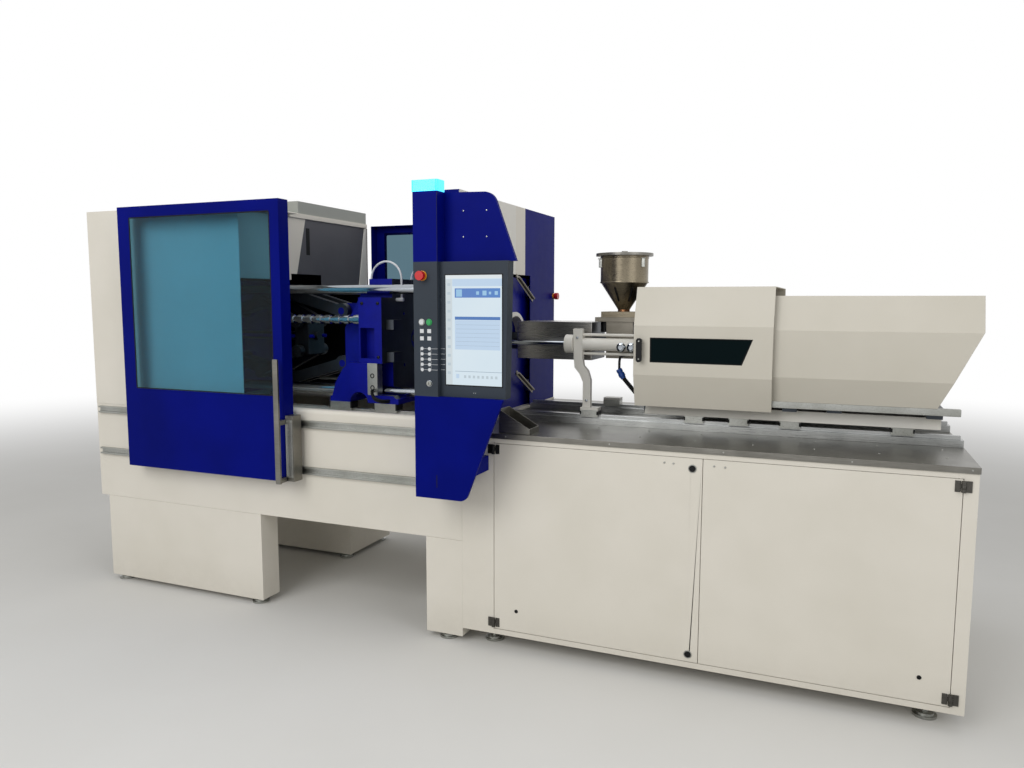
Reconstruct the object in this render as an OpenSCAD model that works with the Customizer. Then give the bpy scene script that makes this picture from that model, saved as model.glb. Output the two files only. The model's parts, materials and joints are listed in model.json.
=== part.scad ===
// Electric injection moulding machine: clamp on the left, injection unit on the right.
// Sizes are given from the clamp bed's left end, its front face and the floor,
// and frame() then moves each piece so that the origin is on the floor at the middle of the whole.

/* [Clamp bed] */
// Length of the clamp bed
bed_l = 2336; // [2300:1:2380]
// Width of the whole base, front to rear
base_w = 1300; // [1290:1:1340]
// Height of the bed's underside above the floor
bed_z0 = 500; // [470:1:520]
// Height of the bed's deck above the floor
deck_z = 1036; // [1030:1:1046]
// Thickness of the bed's welded walls
bed_wall = 12; // [8:1:16]
// Thickness of the bed's deck
deck_t = 20; // [16:1:26]
// Width of the raised ledge along the front and rear of the deck
ledge_w = 45; // [40:1:60]
// Height of the raised ledge above the deck
ledge_h = 42; // [36:1:48]
// Rounding of the ledge's outer edge
ledge_r = 20; // [10:1:24]
// Width of the open pit between the clamp rails
pit_w = 460; // [440:1:480]
// Length of the open drop chute through the bed
chute_l = 190; // [150:1:200]

/* [Pedestals and feet] */
// Length of the clamp pedestals
pedestal_l = 1095; // [1000:1:1120]
// Depth of the front pedestal
pedestal_d = 133; // [120:1:160]
// Depth of the rear pedestal
rear_pedestal_d = 472; // [420:1:500]
// Width of the support columns beside the cabinet
column_w = 193; // [160:1:210]
// Depth of the support columns beside the cabinet
column_d = 130; // [110:1:150]
// Height of the legs' underside above the floor
leg_z0 = 30; // [26:1:40]
// Diameter of a levelling pad
pad_d = 90; // [80:1:100]
// Height of a levelling pad
pad_h = 18; // [14:1:22]
// Diameter of a levelling screw
level_screw_d = 24; // [20:1:30]

/* [Cabinet] */
// Length of the injection side cabinet
cabinet_l = 2092; // [2060:1:2100]
// Height of the cabinet's underside above the floor
cabinet_z0 = 74; // [66:1:90]
// Height of the cabinet's top under the table sheet
cabinet_z1 = 1015; // [1010:1:1020]
// Depth of the cabinet's front frame
frame_t = 30; // [29:1:36]
// Width of the frame left of the doors
rim_left = 162; // [150:1:170]
// Width of the frame right of the doors
rim_right = 49; // [40:1:60]
// Height of the frame below the doors
rim_bottom = 24; // [20:1:30]
// Height of the frame above the doors
rim_top = 35; // [30:1:40]
// Thickness of a folded door
door_t = 25; // [20:1:25]
// Gap around each door
door_gap = 2; // [1.5:0.1:3]
// Thickness of the table sheet
table_t = 10; // [8:1:12]
// Overhang of the table sheet in front of the cabinet
table_lip = 6; // [2:1:8]
// Height of the table sheet's folded edge
table_fold = 24; // [16:1:30]

/* [Rails] */
// Distance of the injection rails from the machine axis
inj_rail_y = 210; // [200:1:225]
// Width of the injection rail beams
beam_w = 60; // [50:1:70]
// Height of the injection rail beams
beam_h = 31; // [25:1:36]
// Width of a guide rail
rail_w = 23; // [20:1:26]
// Height of a guide rail
rail_h = 16; // [14:1:20]
// Distance of the clamp rails from the machine axis
clamp_rail_y = 350; // [345:1:355]
// Height of a rail carriage, measured from the rail's foot
shoe_h = 52; // [46:1:56]

/* [Clamp] */
// Height of the machine axis above the floor
axis_z = 1415; // [1405:1:1425]
// Distance between tie bar centres, front to rear
tie_dy = 590; // [570:1:600]
// Distance between tie bar centres, top to bottom
tie_dz = 536; // [530:1:550]
// Diameter of a tie bar
tie_d = 50; // [44:1:54]
// Left face of the fixed platen, where the mould is bolted
fixed_x = 2090; // [2080:1:2100]
// Thickness of the fixed platen
fixed_t = 200; // [180:1:204]
// Mould face of the moving platen at rest
moving_x = 1740; // [1720:1:1760]
// Thickness of the moving platen
moving_t = 140; // [120:1:150]
// Right face of the rear platen at rest
rear_x = 435; // [425:1:445]
// Thickness of the rear platen
rear_t = 170; // [150:1:180]
// Width of the platens
platen_w = 760; // [750:1:770]
// Diameter of the locating ring bores
ring_d = 125; // [100:1:160]
// Spacing of the mould bolt holes, both ways
bolt_pitch = 280; // [260:1:300]
// Diameter of the mould bolt holes
bolt_d = 16; // [12:1:20]

/* [Toggle] */
// Distance of the toggle pivots from the machine axis
pivot_dz = 150; // [145:1:155]
// Distance between a link's two pivots
link_l = 415; // [412:1:420]
// Diameter of a link's eyes
eye_d = 90; // [76:1:94]
// Diameter of the main toggle pins
pin_d = 40; // [30:1:46]
// Diameter of the crosshead pins
small_pin_d = 30; // [24:1:34]
// Half the thickness of the rear links
blade_h = 49.7; // [44:0.1:50]
// Thickness of each side blade
blade_t = 41.4; // [34:0.1:44]
// Diameter of the clamp ball screw
screw_d = 50; // [40:1:54]

/* [Guard doors and covers] */
// Length of a sliding guard door
guard_l = 1060; // [1040:1:1066]
// Left end of the front guard door at rest, slid open
guard_x = 345; // [335:1:350]
// Height of the guard doors' lower edge
guard_z0 = 720; // [700:1:730]
// Height of the guard doors' upper edge
guard_z1 = 2117; // [2100:1:2130]
// Gap between a guard door and the base
guard_gap = 25; // [22:1:30]
// Depth of a guard door
guard_t = 75; // [60:1:80]
// Height of the left end cover
cover_z = 2116; // [2105:1:2120]
// Length of the left end cover
cover_l = 1073; // [1040:1:1080]
// Thickness of the cover sheets
sheet = 4; // [3:0.5:5]
// Height of the fixed platen's cover
portal_z = 2125; // [2110:1:2140]

/* [Control column] */
// Left side of the control column
column_x = 2214; // [2210:1:2220]
// Width of the control column
column_l = 118; // [110:1:124]
// Distance of the column's front from the base
column_out = 220; // [210:1:230]
// Height of the column's lower edge
column_z0 = 753; // [740:1:770]
// Height of the column's upper edge
column_z1 = 2090; // [2080:1:2100]
// Lower edge of the grey control housing
housing_z0 = 1208; // [1200:1:1216]
// Upper edge of the grey control housing
housing_z1 = 1792; // [1786:1:1800]
// Width of the screen
screen_w = 268; // [250:1:272]
// Height of the screen
screen_h = 476; // [460:1:490]
// Diameter of a push button
button_d = 22; // [18:1:24]

/* [Injection unit] */
// Diameter of the barrel
barrel_d = 90; // [84:1:94]
// Diameter of the plasticising screw
plast_d = 35; // [30:1:40]
// Tip of the nozzle at rest
nozzle_x = 2165; // [2155:1:2185]
// Front face of the injection carriage's front plate, from the bed's right end
front_plate_dx = 764; // [759:1:774]
// Diameter of the carriage's guide rods
guide_d = 25; // [20:1:30]
// Centre of the hopper, from the bed's right end
hopper_dx = 594; // [589:1:599]
// Outer diameter of the hopper
hopper_d = 237; // [225:1:245]
// Diameter of the hopper's lid
lid_d = 284; // [270:1:290]
// Length of the front injection cover
front_cover_l = 600; // [580:1:610]
// Left end of the front injection cover, from the bed's right end
front_cover_dx = 743; // [734:1:749]
// Right end of the rear injection cover, from the bed's right end
rear_cover_dx = 2123; // [2104:1:2134]

/* [Hidden] */
$fn = 48;
seat = 0.3;              // gap between pieces of different bodies that lie on each other
run = 0.1;               // diametral clearance of a running fit
axis_y = base_w / 2;
pedestal_x = 59;
rear_pedestal_y = base_w - 10 - rear_pedestal_d;
base_l = bed_l + cabinet_l;
front_plate_x = bed_l + front_plate_dx;
hopper_x = bed_l + hopper_dx;
front_cover_x = bed_l + front_cover_dx;
rear_cover_x1 = bed_l + rear_cover_dx;
stop_d = 40;
stop_out = 32;
handle_out = 40;
rear_reach = base_w + guard_gap + guard_t + handle_out;
mid_x = max(base_l, rear_cover_x1) / 2;
mid_y = (rear_reach - column_out - stop_out) / 2;
rail_top = deck_z + rail_h;
shoe_top = deck_z + shoe_h;
table_z = cabinet_z1 + table_t;
beam_top = table_z + beam_h;
inj_shoe_top = beam_top + shoe_h - 12;
tie_y0 = axis_y - tie_dy / 2;
tie_z0 = axis_z - tie_dz / 2;
tie_z1 = axis_z + tie_dz / 2;
platen_y0 = axis_y - platen_w / 2;
plane1 = blade_h + 0.6;   // inner side of the front links' blades
plane2 = plane1 + blade_t + 0.6;
link_out = plane2 + blade_t;
rear_pivot_x = rear_x + 65;
front_pivot_x = moving_x - moving_t - 300;
pivot_z = axis_z + pivot_dz;
knee_angle = acos((front_pivot_x - rear_pivot_x) / 2 / link_l);
lug_r = 250;              // distance of the crosshead link's lug from the rear pivot
lug_x = rear_pivot_x + lug_r * cos(knee_angle);
lug_z = pivot_z + lug_r * sin(knee_angle);
cross_l = 300;
cross_dz = 85;
cross_x = lug_x + sqrt(pow(cross_l, 2) - pow(lug_z - axis_z - cross_dz, 2));
cross_angle = atan2(lug_z - axis_z - cross_dz, lug_x - cross_x);
block_z0 = axis_z - 118;  // lower and upper edge of the moving platen's side blocks
block_z1 = axis_z + 226;
portal_x1 = bed_l - 6;
portal_x0 = fixed_x + 4;
door_z0 = cabinet_z0 + rim_bottom;
door_z1 = cabinet_z1 - rim_top;
door_x0 = bed_l + rim_left;
door_x1 = base_l - rim_right;
door_mid = (door_x0 + door_x1) / 2;
door_sheet = 3;
hinge_pin_d = 8;
hinge_y = -8;
hinge_h = 14;
hinge_levels = [door_z0 + 33, door_z1 - 29];
lock_d = 20;
lock_inset = 42;
lock_levels = [door_z0 + 35, door_z1 - 45];
guide_levels = [765, 1004];   // heights of the guard doors' guide rails
guide_h = 38;
guide_t = 18;
guard_y = -guard_gap - guard_t;
sleeve_y = axis_y - 200;
housing_y = -column_out + 25;
screen_x = column_x + column_l + 25;
screen_z = (housing_z0 + housing_z1) / 2 - 2;
stop_pos = [column_x + 45, housing_z1 - 60];
button_pos = [[column_x + 40, housing_z0 + 324], [column_x + 76, housing_z0 + 324]];
key_pos = [column_x + 75, housing_z0 + 57];
rear_stop_pos = [base_w - 18, 1653];
barrel_cover_x = bed_l + 64;
feed_z = axis_z + 107;
gate_z = feed_z + 22;
drain_x = hopper_x - 95;
lid_hinge_y = axis_y + lid_d / 2 + 5;
lid_hinge_z = gate_z + seat + 294;
pressure_x = front_plate_x + 320;
rear_plate_x = front_plate_x + 800;
inj_beam_z1 = inj_shoe_top + 50;
cover_rail_y = 315;
cover_rail_z = 1165;
cover_rail_h = 29;
cover_y = 250;            // middle of the front cover's side wall, from the base's front face
cover_z0 = cover_rail_z - 18;
cover_z1 = 1688;
cover_step = 30;          // how far the rear cover lies inside the front one
rear_cover_x0 = front_cover_x + front_cover_l - 79;

// Moves a piece from the bed's corner to the part's own origin
module frame() {
    translate([-mid_x, -mid_y, 0]) children();
}

// Box between two corners
module box(x0, x1, y0, y1, z0, z1) {
    translate([x0, y0, z0]) cube([x1 - x0, y1 - y0, z1 - z0]);
}

// Round bars along each direction
module rod_x(x0, x1, y, z, d) {
    translate([x0, y, z]) rotate([0, 90, 0]) cylinder(h = x1 - x0, d = d);
}

module rod_y(x, y0, y1, z, d) {
    translate([x, y0, z]) rotate([-90, 0, 0]) cylinder(h = y1 - y0, d = d);
}

module rod_z(x, y, z0, z1, d) {
    translate([x, y, z0]) cylinder(h = z1 - z0, d = d);
}

// Round bar between two points
module straight(a, b, d) {
    run_l = norm(b - a);
    translate(a) rotate([0, acos((b[2] - a[2]) / run_l), atan2(b[1] - a[1], b[0] - a[0])]) cylinder(h = run_l, d = d);
}

// A drawing in X and Z, thick from y0 to y1
module slab_y(y0, y1) {
    translate([0, y1, 0]) rotate([90, 0, 0]) linear_extrude(y1 - y0) children();
}

// A drawing in Y and Z, thick from x0 to x1
module slab_x(x0, x1) {
    translate([x0, 0, 0]) rotate([90, 0, 90]) linear_extrude(x1 - x0) children();
}

// Rectangle with round corners
module rounded(w, h, r) {
    translate([r, 0]) square([w - 2 * r, h]);
    translate([0, r]) square([w, h - 2 * r]);
    for (x = [r, w - r], y = [r, h - r]) translate([x, y]) circle(r);
}

// The children and their mirror image behind the machine axis
module front_and_rear() {
    children();
    translate([0, 2 * axis_y, 0]) mirror([0, 1, 0]) children();
}

// The children and their mirror image below the machine axis
module above_and_below() {
    children();
    below() children();
}

module below() {
    translate([0, 0, 2 * axis_z]) mirror([0, 0, 1]) children();
}

// Clamp bed: an open box with a pit for the toggle and a chute for the moulded parts
module clamp_bed() color("#e8e6dd") frame() {
    difference() {
        box(0, bed_l, 0, base_w, bed_z0, deck_z);
        box(bed_wall, bed_l - bed_wall, bed_wall, base_w - bed_wall, bed_z0 + bed_wall, deck_z - deck_t);
        box(rear_x + 85, fixed_x - 20, axis_y - pit_w / 2, axis_y + pit_w / 2, deck_z - deck_t - 1, deck_z + 1);
        box(fixed_x - 30 - chute_l, fixed_x - 30, axis_y - pit_w / 2, axis_y + pit_w / 2,
            bed_z0 - 1, bed_z0 + bed_wall + 1);
    }
    front_and_rear() slab_x(cover_l, portal_x0) translate([0, deck_z]) ledge_outline();
}

module ledge_outline() {
    square([ledge_w, ledge_h - ledge_r]);
    translate([ledge_r, 0]) square([ledge_w - ledge_r, ledge_h]);
    translate([ledge_r, ledge_h - ledge_r]) circle(ledge_r);
}

// Welded legs under the clamp bed
module pedestals() color("#e4e2d9") frame() {
    leg(pedestal_x, pedestal_x + pedestal_l, 0, pedestal_d);
    leg(pedestal_x, pedestal_x + pedestal_l, rear_pedestal_y, rear_pedestal_y + rear_pedestal_d);
    front_and_rear() leg(bed_l - column_w, bed_l, 0, column_d);
}

module leg(x0, x1, y0, y1) {
    wall = 8;
    difference() {
        box(x0, x1, y0, y1, leg_z0, bed_z0);
        box(x0 + wall, x1 - wall, y0 + wall, y1 - wall, leg_z0 + wall, bed_z0 + 1);
    }
}

// Screwed pads that level the machine
module levelling_feet() color("#b9bcbe") frame() {
    for (x = [pedestal_x + 60, pedestal_x + pedestal_l - 60]) {
        foot(x, pad_d / 2 + 6, leg_z0);
        for (y = [rear_pedestal_y + pad_d / 2, rear_pedestal_y + rear_pedestal_d - pad_d / 2]) foot(x, y, leg_z0);
    }
    front_and_rear() foot(bed_l - column_w / 2, pad_d / 2 + 6, leg_z0);
    front_and_rear() for (x = [bed_l + 120, base_l - 120]) foot(x, 110, cabinet_z0);
}

module foot(x, y, top) {
    rod_z(x, y, 0, pad_h - 8, pad_d);
    rod_z(x, y, pad_h - 8, pad_h, pad_d - 24);
    rod_z(x, y, pad_h, top, level_screw_d);
}

// Cabinet under the injection unit, with its door opening and the fixed halves of the hinges
module injection_cabinet() color("#e8e6dd") frame() {
    difference() {
        box(bed_l, base_l, 0, base_w, cabinet_z0, cabinet_z1);
        box(bed_l + sheet, base_l - sheet, frame_t, base_w - sheet, cabinet_z0 + sheet, cabinet_z1 - sheet);
        box(door_x0, door_x1, -1, frame_t + 1, door_z0, door_z1);
        for (i = [0:9]) box(bed_l + 300, bed_l + 700, base_w - 20, base_w + 1, 300 + 30 * i, 308 + 30 * i);
    }
    // Post behind the gap between the doors, which the locks' cams catch
    box(door_mid - 14, door_mid + 14, door_t + 2, frame_t, door_z0, door_z1);
    for (z = hinge_levels) {
        hinge_fixed(door_x0 + 1, z, -1);
        hinge_fixed(door_x1 - 1, z, 1);
    }
}

module hinge_fixed(x, z, side) {
    difference() {
        for (dz = [-hinge_h * 1.5 - seat, hinge_h / 2 + seat]) translate([x, hinge_y, z + dz]) {
            cylinder(h = hinge_h, d = 16);
            translate([side > 0 ? 0 : -28, 4, 0]) cube([28, -hinge_y - 4, hinge_h]);
            translate([side > 0 ? 4 : -8, 0, 0]) cube([4, 6, hinge_h]);
        }
        rod_z(x, hinge_y, z - 2 * hinge_h, z + 2 * hinge_h, hinge_pin_d);
    }
    hinge_leaf(x, z, side);
    rod_z(x, hinge_y, z - hinge_h * 1.5 - seat, z + hinge_h * 1.5 + seat, hinge_pin_d);
}

// Flat leaf of a hinge, as high as all its knuckles
module hinge_leaf(x, z, side) {
    leaf_h = 3 * hinge_h + 2 * seat;
    translate([side > 0 ? x + 9.5 : x - 28, hinge_y + 4, z - leaf_h / 2]) cube([18.5, -hinge_y - 4, leaf_h]);
}

// Brushed table sheet, with the purge tray that stands on it beside the platen
module table_top() color("#c3c5c4") frame() {
    box(bed_l, base_l, -table_lip, base_w + table_lip, cabinet_z1, table_z);
    front_and_rear() box(bed_l, base_l, -table_lip, 0, table_z - table_fold, cabinet_z1);
    box(base_l, base_l + 3, -table_lip, base_w + table_lip, table_z - table_fold, table_z);
    tray_x = bed_l + 184;
    difference() {
        slab_y(10, 130) polygon([[tray_x, table_z], [tray_x + 150, table_z], [tray_x + 150, table_z + 25],
            [tray_x, table_z + 110]]);
        slab_y(13, 127) polygon([[tray_x + 3, table_z + 3], [tray_x + 147, table_z + 3],
            [tray_x + 147, table_z + 30], [tray_x + 3, table_z + 112]]);
    }
}

// Beams and guide rails for the injection unit, and the clamp's own guide rails
module slide_rails() color("#cfd0ce") frame() {
    front_and_rear() {
        box(bed_l + 20, base_l, axis_y - inj_rail_y - beam_w / 2, axis_y - inj_rail_y + beam_w / 2,
            table_z, beam_top);
        box(bed_l + 30, base_l - 10, axis_y - inj_rail_y - rail_w / 2, axis_y - inj_rail_y + rail_w / 2,
            beam_top, beam_top + rail_h);
        box(moving_x - 700, fixed_x - 40, axis_y - clamp_rail_y - rail_w / 2, axis_y - clamp_rail_y + rail_w / 2,
            deck_z, rail_top);
    }
}

// Grooved rails that carry the sliding guard doors, front and rear
module guard_rails() color("#a9aba8") frame() {
    front_and_rear() for (z = guide_levels) difference() {
        box(30, column_x - 2, -guide_t, 0, z - guide_h / 2, z + guide_h / 2);
        box(29, column_x, -guide_t - 1, -4, z - 10, z + 10);
    }
}

// Fixed platen with tie bar bores, the nozzle's opening and the mould's bolt holes
module fixed_platen() color("#10208f") frame() {
    difference() {
        box(fixed_x, fixed_x + fixed_t, platen_y0, platen_y0 + platen_w, deck_z, tie_z1 + 69);
        tie_bores(fixed_x, fixed_x + fixed_t);
        rod_x(fixed_x - 1, fixed_x + 25, axis_y, axis_z, ring_d);
        rod_x(fixed_x - 1, fixed_x + fixed_t + 1, axis_y, axis_z, barrel_d + 16);
        front_and_rear() rod_x(fixed_x + fixed_t - 60, fixed_x + fixed_t + 1, sleeve_y, axis_z, guide_d);
        mould_holes(fixed_x - 1, fixed_x + 35);
    }
}

module tie_bores(x0, x1) {
    for (y = [tie_y0, tie_y0 + tie_dy], z = [tie_z0, tie_z1]) rod_x(x0 - 1, x1 + 1, y, z, tie_d + run);
}

module mould_holes(x0, x1) {
    for (sy = [-1, 1], sz = [-1, 1])
        rod_x(x0, x1, axis_y + sy * bolt_pitch / 2, axis_z + sz * bolt_pitch / 2, bolt_d);
}

// Four tie bars with the nuts that hold them in the fixed platen
module tie_bars() color("#c9ccce") frame() {
    nut_t = 28;
    for (y = [tie_y0, tie_y0 + tie_dy], z = [tie_z0, tie_z1]) {
        rod_x(rear_x - rear_t - 115, fixed_x + fixed_t + nut_t + 4, y, z, tie_d);
        difference() {
            rod_x(fixed_x + fixed_t, fixed_x + fixed_t + nut_t, y, z, tie_d + 40);
            rod_x(fixed_x + fixed_t - 1, fixed_x + fixed_t + nut_t + 1, y, z, tie_d);
        }
    }
}

// White sheet cover around the rear platen and the toggle
module end_cover() color("#ebe9e1") frame() {
    roof_y = base_w * 0.377;
    difference() {
        box(0, cover_l, 0, base_w, deck_z, cover_z);
        box(sheet, cover_l + 1, sheet, base_w - sheet, deck_z - 1, cover_z - sheet);
        box(-1, cover_l + 1, roof_y, base_w + 1, cover_z - 16, cover_z + 1);
        box(cover_l - 64, cover_l + 1, roof_y, base_w + 1, deck_z - 1, cover_z + 1);
    }
    slab_x(cover_l - 77, cover_l - 73) difference() {
        polygon([[sheet, tie_z1 + 60], [roof_y + 60, tie_z1 + 60], [roof_y + 160, cover_z - 16],
            [sheet, cover_z - 16]]);
        toggle_way();
    }
}

// Opening in the inner guard walls that the toggle's knees pass through
module toggle_way() {
    translate([axis_y - link_out - 10, axis_z]) square([2 * link_out + 20, tie_dz / 2 + 95]);
}

// Roof ledge, the raised duct on it and the tapered inner guard below it
module roof_cover() color("#9fa3a5") frame() {
    roof_y = base_w * 0.377;
    roof_x = cover_l - 73;
    box(0, roof_x, roof_y, base_w, cover_z - 16, cover_z + 14);
    difference() {
        box(40, roof_x, roof_y + 94, base_w, cover_z + 14, cover_z + 84);
        box(43, roof_x - 3, roof_y + 97, base_w - 3, cover_z + 13, cover_z + 81);
    }
    slab_x(roof_x - sheet, roof_x) difference() {
        polygon([[roof_y + 160.5, cover_z - 16], [base_w - 2 * sheet, cover_z - 16],
            [base_w - 2 * sheet, tie_z1 + 10], [roof_y + 60.5, tie_z1 + 10], [roof_y + 60.5, tie_z1 + 60]]);
        translate([tie_y0 + tie_dy, tie_z1]) circle(d = tie_d + 10);
        toggle_way();
    }
}

// Sheet cover around the fixed platen: a portal with a front leg, a top and a rear leg
module platen_cover() color("#20307f") frame() {
    gap = 8;
    collar_r = 150;
    way_y1 = axis_y + 245;   // rear edge of the way through the right wall
    difference() {
        box(portal_x0, portal_x1, 0, base_w, deck_z, portal_z);
        box(portal_x0 + sheet, portal_x1 - sheet, sheet, base_w - sheet, deck_z - 1, portal_z - sheet);
        box(portal_x0 - 1, portal_x1 - sheet, platen_y0 - gap, platen_y0 + platen_w + gap,
            deck_z - 1, tie_z1 + 81);
        box(portal_x1 - sheet - 1, portal_x1 + 1, platen_y0 - gap, way_y1, deck_z - 1, tie_z1 + 81);
        rod_x(portal_x1 - 9, portal_x1 + 1, rear_stop_pos[0], rear_stop_pos[1], button_d + run);
    }
    // Collar over the nozzle's opening
    slab_x(fixed_x + fixed_t, portal_x1 + 14) translate([axis_y, axis_z]) difference() {
        circle(r = collar_r);
        circle(r = collar_r - 22);
        translate([-collar_r - 1, -collar_r - 1]) square([2 * collar_r + 2, collar_r + 1]);
    }
    // Inclined strips on the right wall
    for (top = [tie_z1 + 62, tie_z0 + 81]) slab_x(portal_x1, portal_x1 + sheet)
        polygon([[way_y1 - 220, top], [way_y1 - 208, top + 24], [way_y1 + 42, top - 102], [way_y1 + 30, top - 126]]);
}

// Blue sheet of the control column: top, wing, lower cover and the brackets that carry it
module control_column() color("#0b1a8c") frame() {
    x1 = column_x + column_l;
    column_tube(housing_z1, column_z1, column_z1 - 3);
    slab_y(housing_y + 45, housing_y + 65) wing_outline();
    difference() {
        union() {
            slab_y(-column_out, -column_out + 14) lower_outline(0);
            slab_y(-column_out + 14, housing_y + 45) lower_outline(45);
            box(column_x, x1, -column_out, -20, column_z0, housing_z0);
        }
        box(column_x + 3, x1 - 3, -column_out + 3, -23, column_z0 + 3, housing_z0 + 1);
    }
    box(column_x + 16, x1 - 16, -20, 0, 850, 1000);
    box(column_x + 16, x1 - 16, -20, 0, 1850, 1950);
    box(bed_l + 90, bed_l + 137, housing_y + 45, 0, 852, 919);
}

module column_tube(z0, z1, inner_z1) {
    difference() {
        box(column_x, column_x + column_l, -column_out, -20, z0, z1);
        box(column_x + 3, column_x + column_l - 3, -column_out + 3, -23, z0 - 1, inner_z1);
    }
}

// Outline of the wing, slanted on the right, with a round upper corner
module wing_outline() {
    r = 60;
    slant = 20;
    x1 = column_x + column_l;
    low_x = x1 + 336;
    corner_z = column_z1 - 5 - r;
    corner_x = low_x - (r + (corner_z - housing_z1) * sin(slant)) / cos(slant);
    polygon([[x1, housing_z1], [low_x, housing_z1], [corner_x + r * cos(slant), corner_z + r * sin(slant)],
        [corner_x, corner_z], [corner_x, column_z1 - 5], [x1, column_z1]]);
    translate([corner_x, corner_z]) circle(r);
}

// Outline of the lower cover, slanted on the right, with a round lower corner
module lower_outline(inset) {
    r = 40;
    top_x = column_x + 424 - inset;
    low_x = column_x + 262 - inset;
    slant = atan2(housing_z0 - column_z0 - r, top_x - low_x);
    corner_x = low_x - r / sin(slant);
    corner_z = column_z0 + r;
    polygon([[column_x, column_z0], [corner_x, column_z0], [corner_x, corner_z],
        [corner_x + r * sin(slant), corner_z - r * cos(slant)], [top_x, housing_z0], [column_x, housing_z0]]);
    translate([corner_x, corner_z]) circle(r);
}

// Grey control housing: the key panel on the column and the screen's frame beside it
module control_housing() color("#3b4149") frame() {
    x1 = column_x + column_l;
    difference() {
        column_tube(housing_z0, housing_z1, housing_z1 + 1);
        rod_y(stop_pos[0], -column_out - 1, -column_out + 4, stop_pos[1], button_d + run);
        for (p = button_pos) rod_y(p[0], -column_out - 1, -column_out + 4, p[1], button_d + run);
        rod_y(key_pos[0], -column_out - 1, -column_out + 4, key_pos[1], button_d + run);
    }
    difference() {
        slab_y(housing_y, housing_y + 60) polygon([[x1, housing_z0], [x1 + 306, housing_z0],
            [x1 + 318, housing_z1], [x1, housing_z1]]);
        box(screen_x, screen_x + screen_w, housing_y - 1, housing_y + 8,
            screen_z - screen_h / 2, screen_z + screen_h / 2);
    }
    // Raised keys of the membrane panel
    for (dx = [40, 76]) {
        for (i = [0, 1]) box(column_x + dx - 9, column_x + dx + 9, -column_out - 1, -column_out,
            housing_z0 + 245 + 32 * i, housing_z0 + 262 + 32 * i);
        for (i = [0:4]) rod_y(column_x + dx, -column_out - 1, -column_out, housing_z0 + 117 + 23 * i, 15);
    }
}

// Display behind its glass
module screen() color("#dfe9f2") frame() {
    box(screen_x, screen_x + screen_w, housing_y - 2, housing_y + 8,
        screen_z - screen_h / 2, screen_z + screen_h / 2);
}

// Signal light on top of the column
module signal_light() color("#3fd6ff") frame() {
    slab_light = 6;
    light_d = 76;
    translate([column_x - slab_light, -column_out - slab_light, column_z1])
        linear_extrude(48) rounded(column_l + 2 * slab_light, light_d, 14);
}

// Mounting plate in the cabinet with its drive modules and main switch
module electrical_plate() color("#9aa0a6") frame() {
    plate_y = base_w - 100;
    box(door_x0 + 60, door_x1 - 60, plate_y, plate_y + 4, 160, 930);
    for (x = [door_x0 + 100, door_x1 - 100], z = [220, 870]) rod_y(x, plate_y + 4, base_w - sheet, z, 30);
    for (i = [0:5]) box(door_x0 + 120 + 190 * i, door_x0 + 270 + 190 * i, plate_y - 220, plate_y, 520, 880);
    box(door_x0 + 120, door_x0 + 900, plate_y - 120, plate_y, 220, 400);
    box(door_x1 - 420, door_x1 - 160, plate_y - 160, plate_y, 210, 440);
}

// Bright rods from the fixed platen on which the injection unit draws itself forward
module guide_rods() color("#d4d7d9") frame() {
    front_and_rear() rod_x(fixed_x + fixed_t - 60, front_plate_x + 250, sleeve_y, axis_z, guide_d);
}

// Rear platen: carries the toggle, the clamp screw's bearing, the crosshead's guides and the tie bar nuts
module rear_platen() color("#10208f") frame() {
    x0 = rear_x - rear_t;
    difference() {
        union() {
            box(x0, rear_x, platen_y0, platen_y0 + platen_w, deck_z + seat, tie_z1 + 65);
            above_and_below() front_and_rear() {
                rod_y(rear_pivot_x, axis_y - plane1 - blade_t, axis_y - blade_h - seat, pivot_z, eye_d);
                box(rear_x, rear_pivot_x, axis_y - plane1 - blade_t, axis_y - blade_h - seat,
                    pivot_z - eye_d / 2, pivot_z + eye_d / 2);
            }
        }
        tie_bores(x0, rear_x);
        rod_x(x0 - 1, rear_x + 1, axis_y, axis_z, screw_d - 10 + run);
        front_and_rear() rod_x(rear_x - 60, rear_x + 1, axis_y - 60, axis_z, 20);
        above_and_below() rod_y(rear_pivot_x, axis_y - link_out, axis_y + link_out, pivot_z, pin_d);
    }
    above_and_below() rod_y(rear_pivot_x, axis_y - plane1 - blade_t, axis_y + plane1 + blade_t, pivot_z, pin_d);
    front_and_rear() rod_x(rear_x - 60, cross_x + 75, axis_y - 60, axis_z, 20);
    for (y = [tie_y0, tie_y0 + tie_dy], z = [tie_z0, tie_z1]) difference() {
        rod_x(x0 - 55, x0, y, z, tie_d + 40);
        rod_x(x0 - 56, x0 + 1, y, z, tie_d + run);
    }
}

// Motor that turns the clamp screw
module clamp_motor() color("#2a2d31") frame() {
    x1 = rear_x - rear_t;
    difference() {
        union() {
            rod_x(x1 - 160, x1, axis_y, axis_z, 220);
            box(x1 - 20, x1, axis_y - 125, axis_y + 125, axis_z - 125, axis_z + 125);
            box(x1 - 130, x1 - 50, axis_y - 50, axis_y + 50, axis_z + 90, axis_z + 150);
        }
        rod_x(x1 - 161, x1 + 1, axis_y, axis_z, screw_d - 10 + run);
    }
}

// Ball screw that drives the crosshead
module clamp_screw() color("#b7babc") frame() {
    rod_x(rear_x - rear_t - 150, rear_x + 5, axis_y, axis_z, screw_d - 10);
    rod_x(rear_x + 5, cross_x + 70, axis_y, axis_z, screw_d);
}

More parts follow.
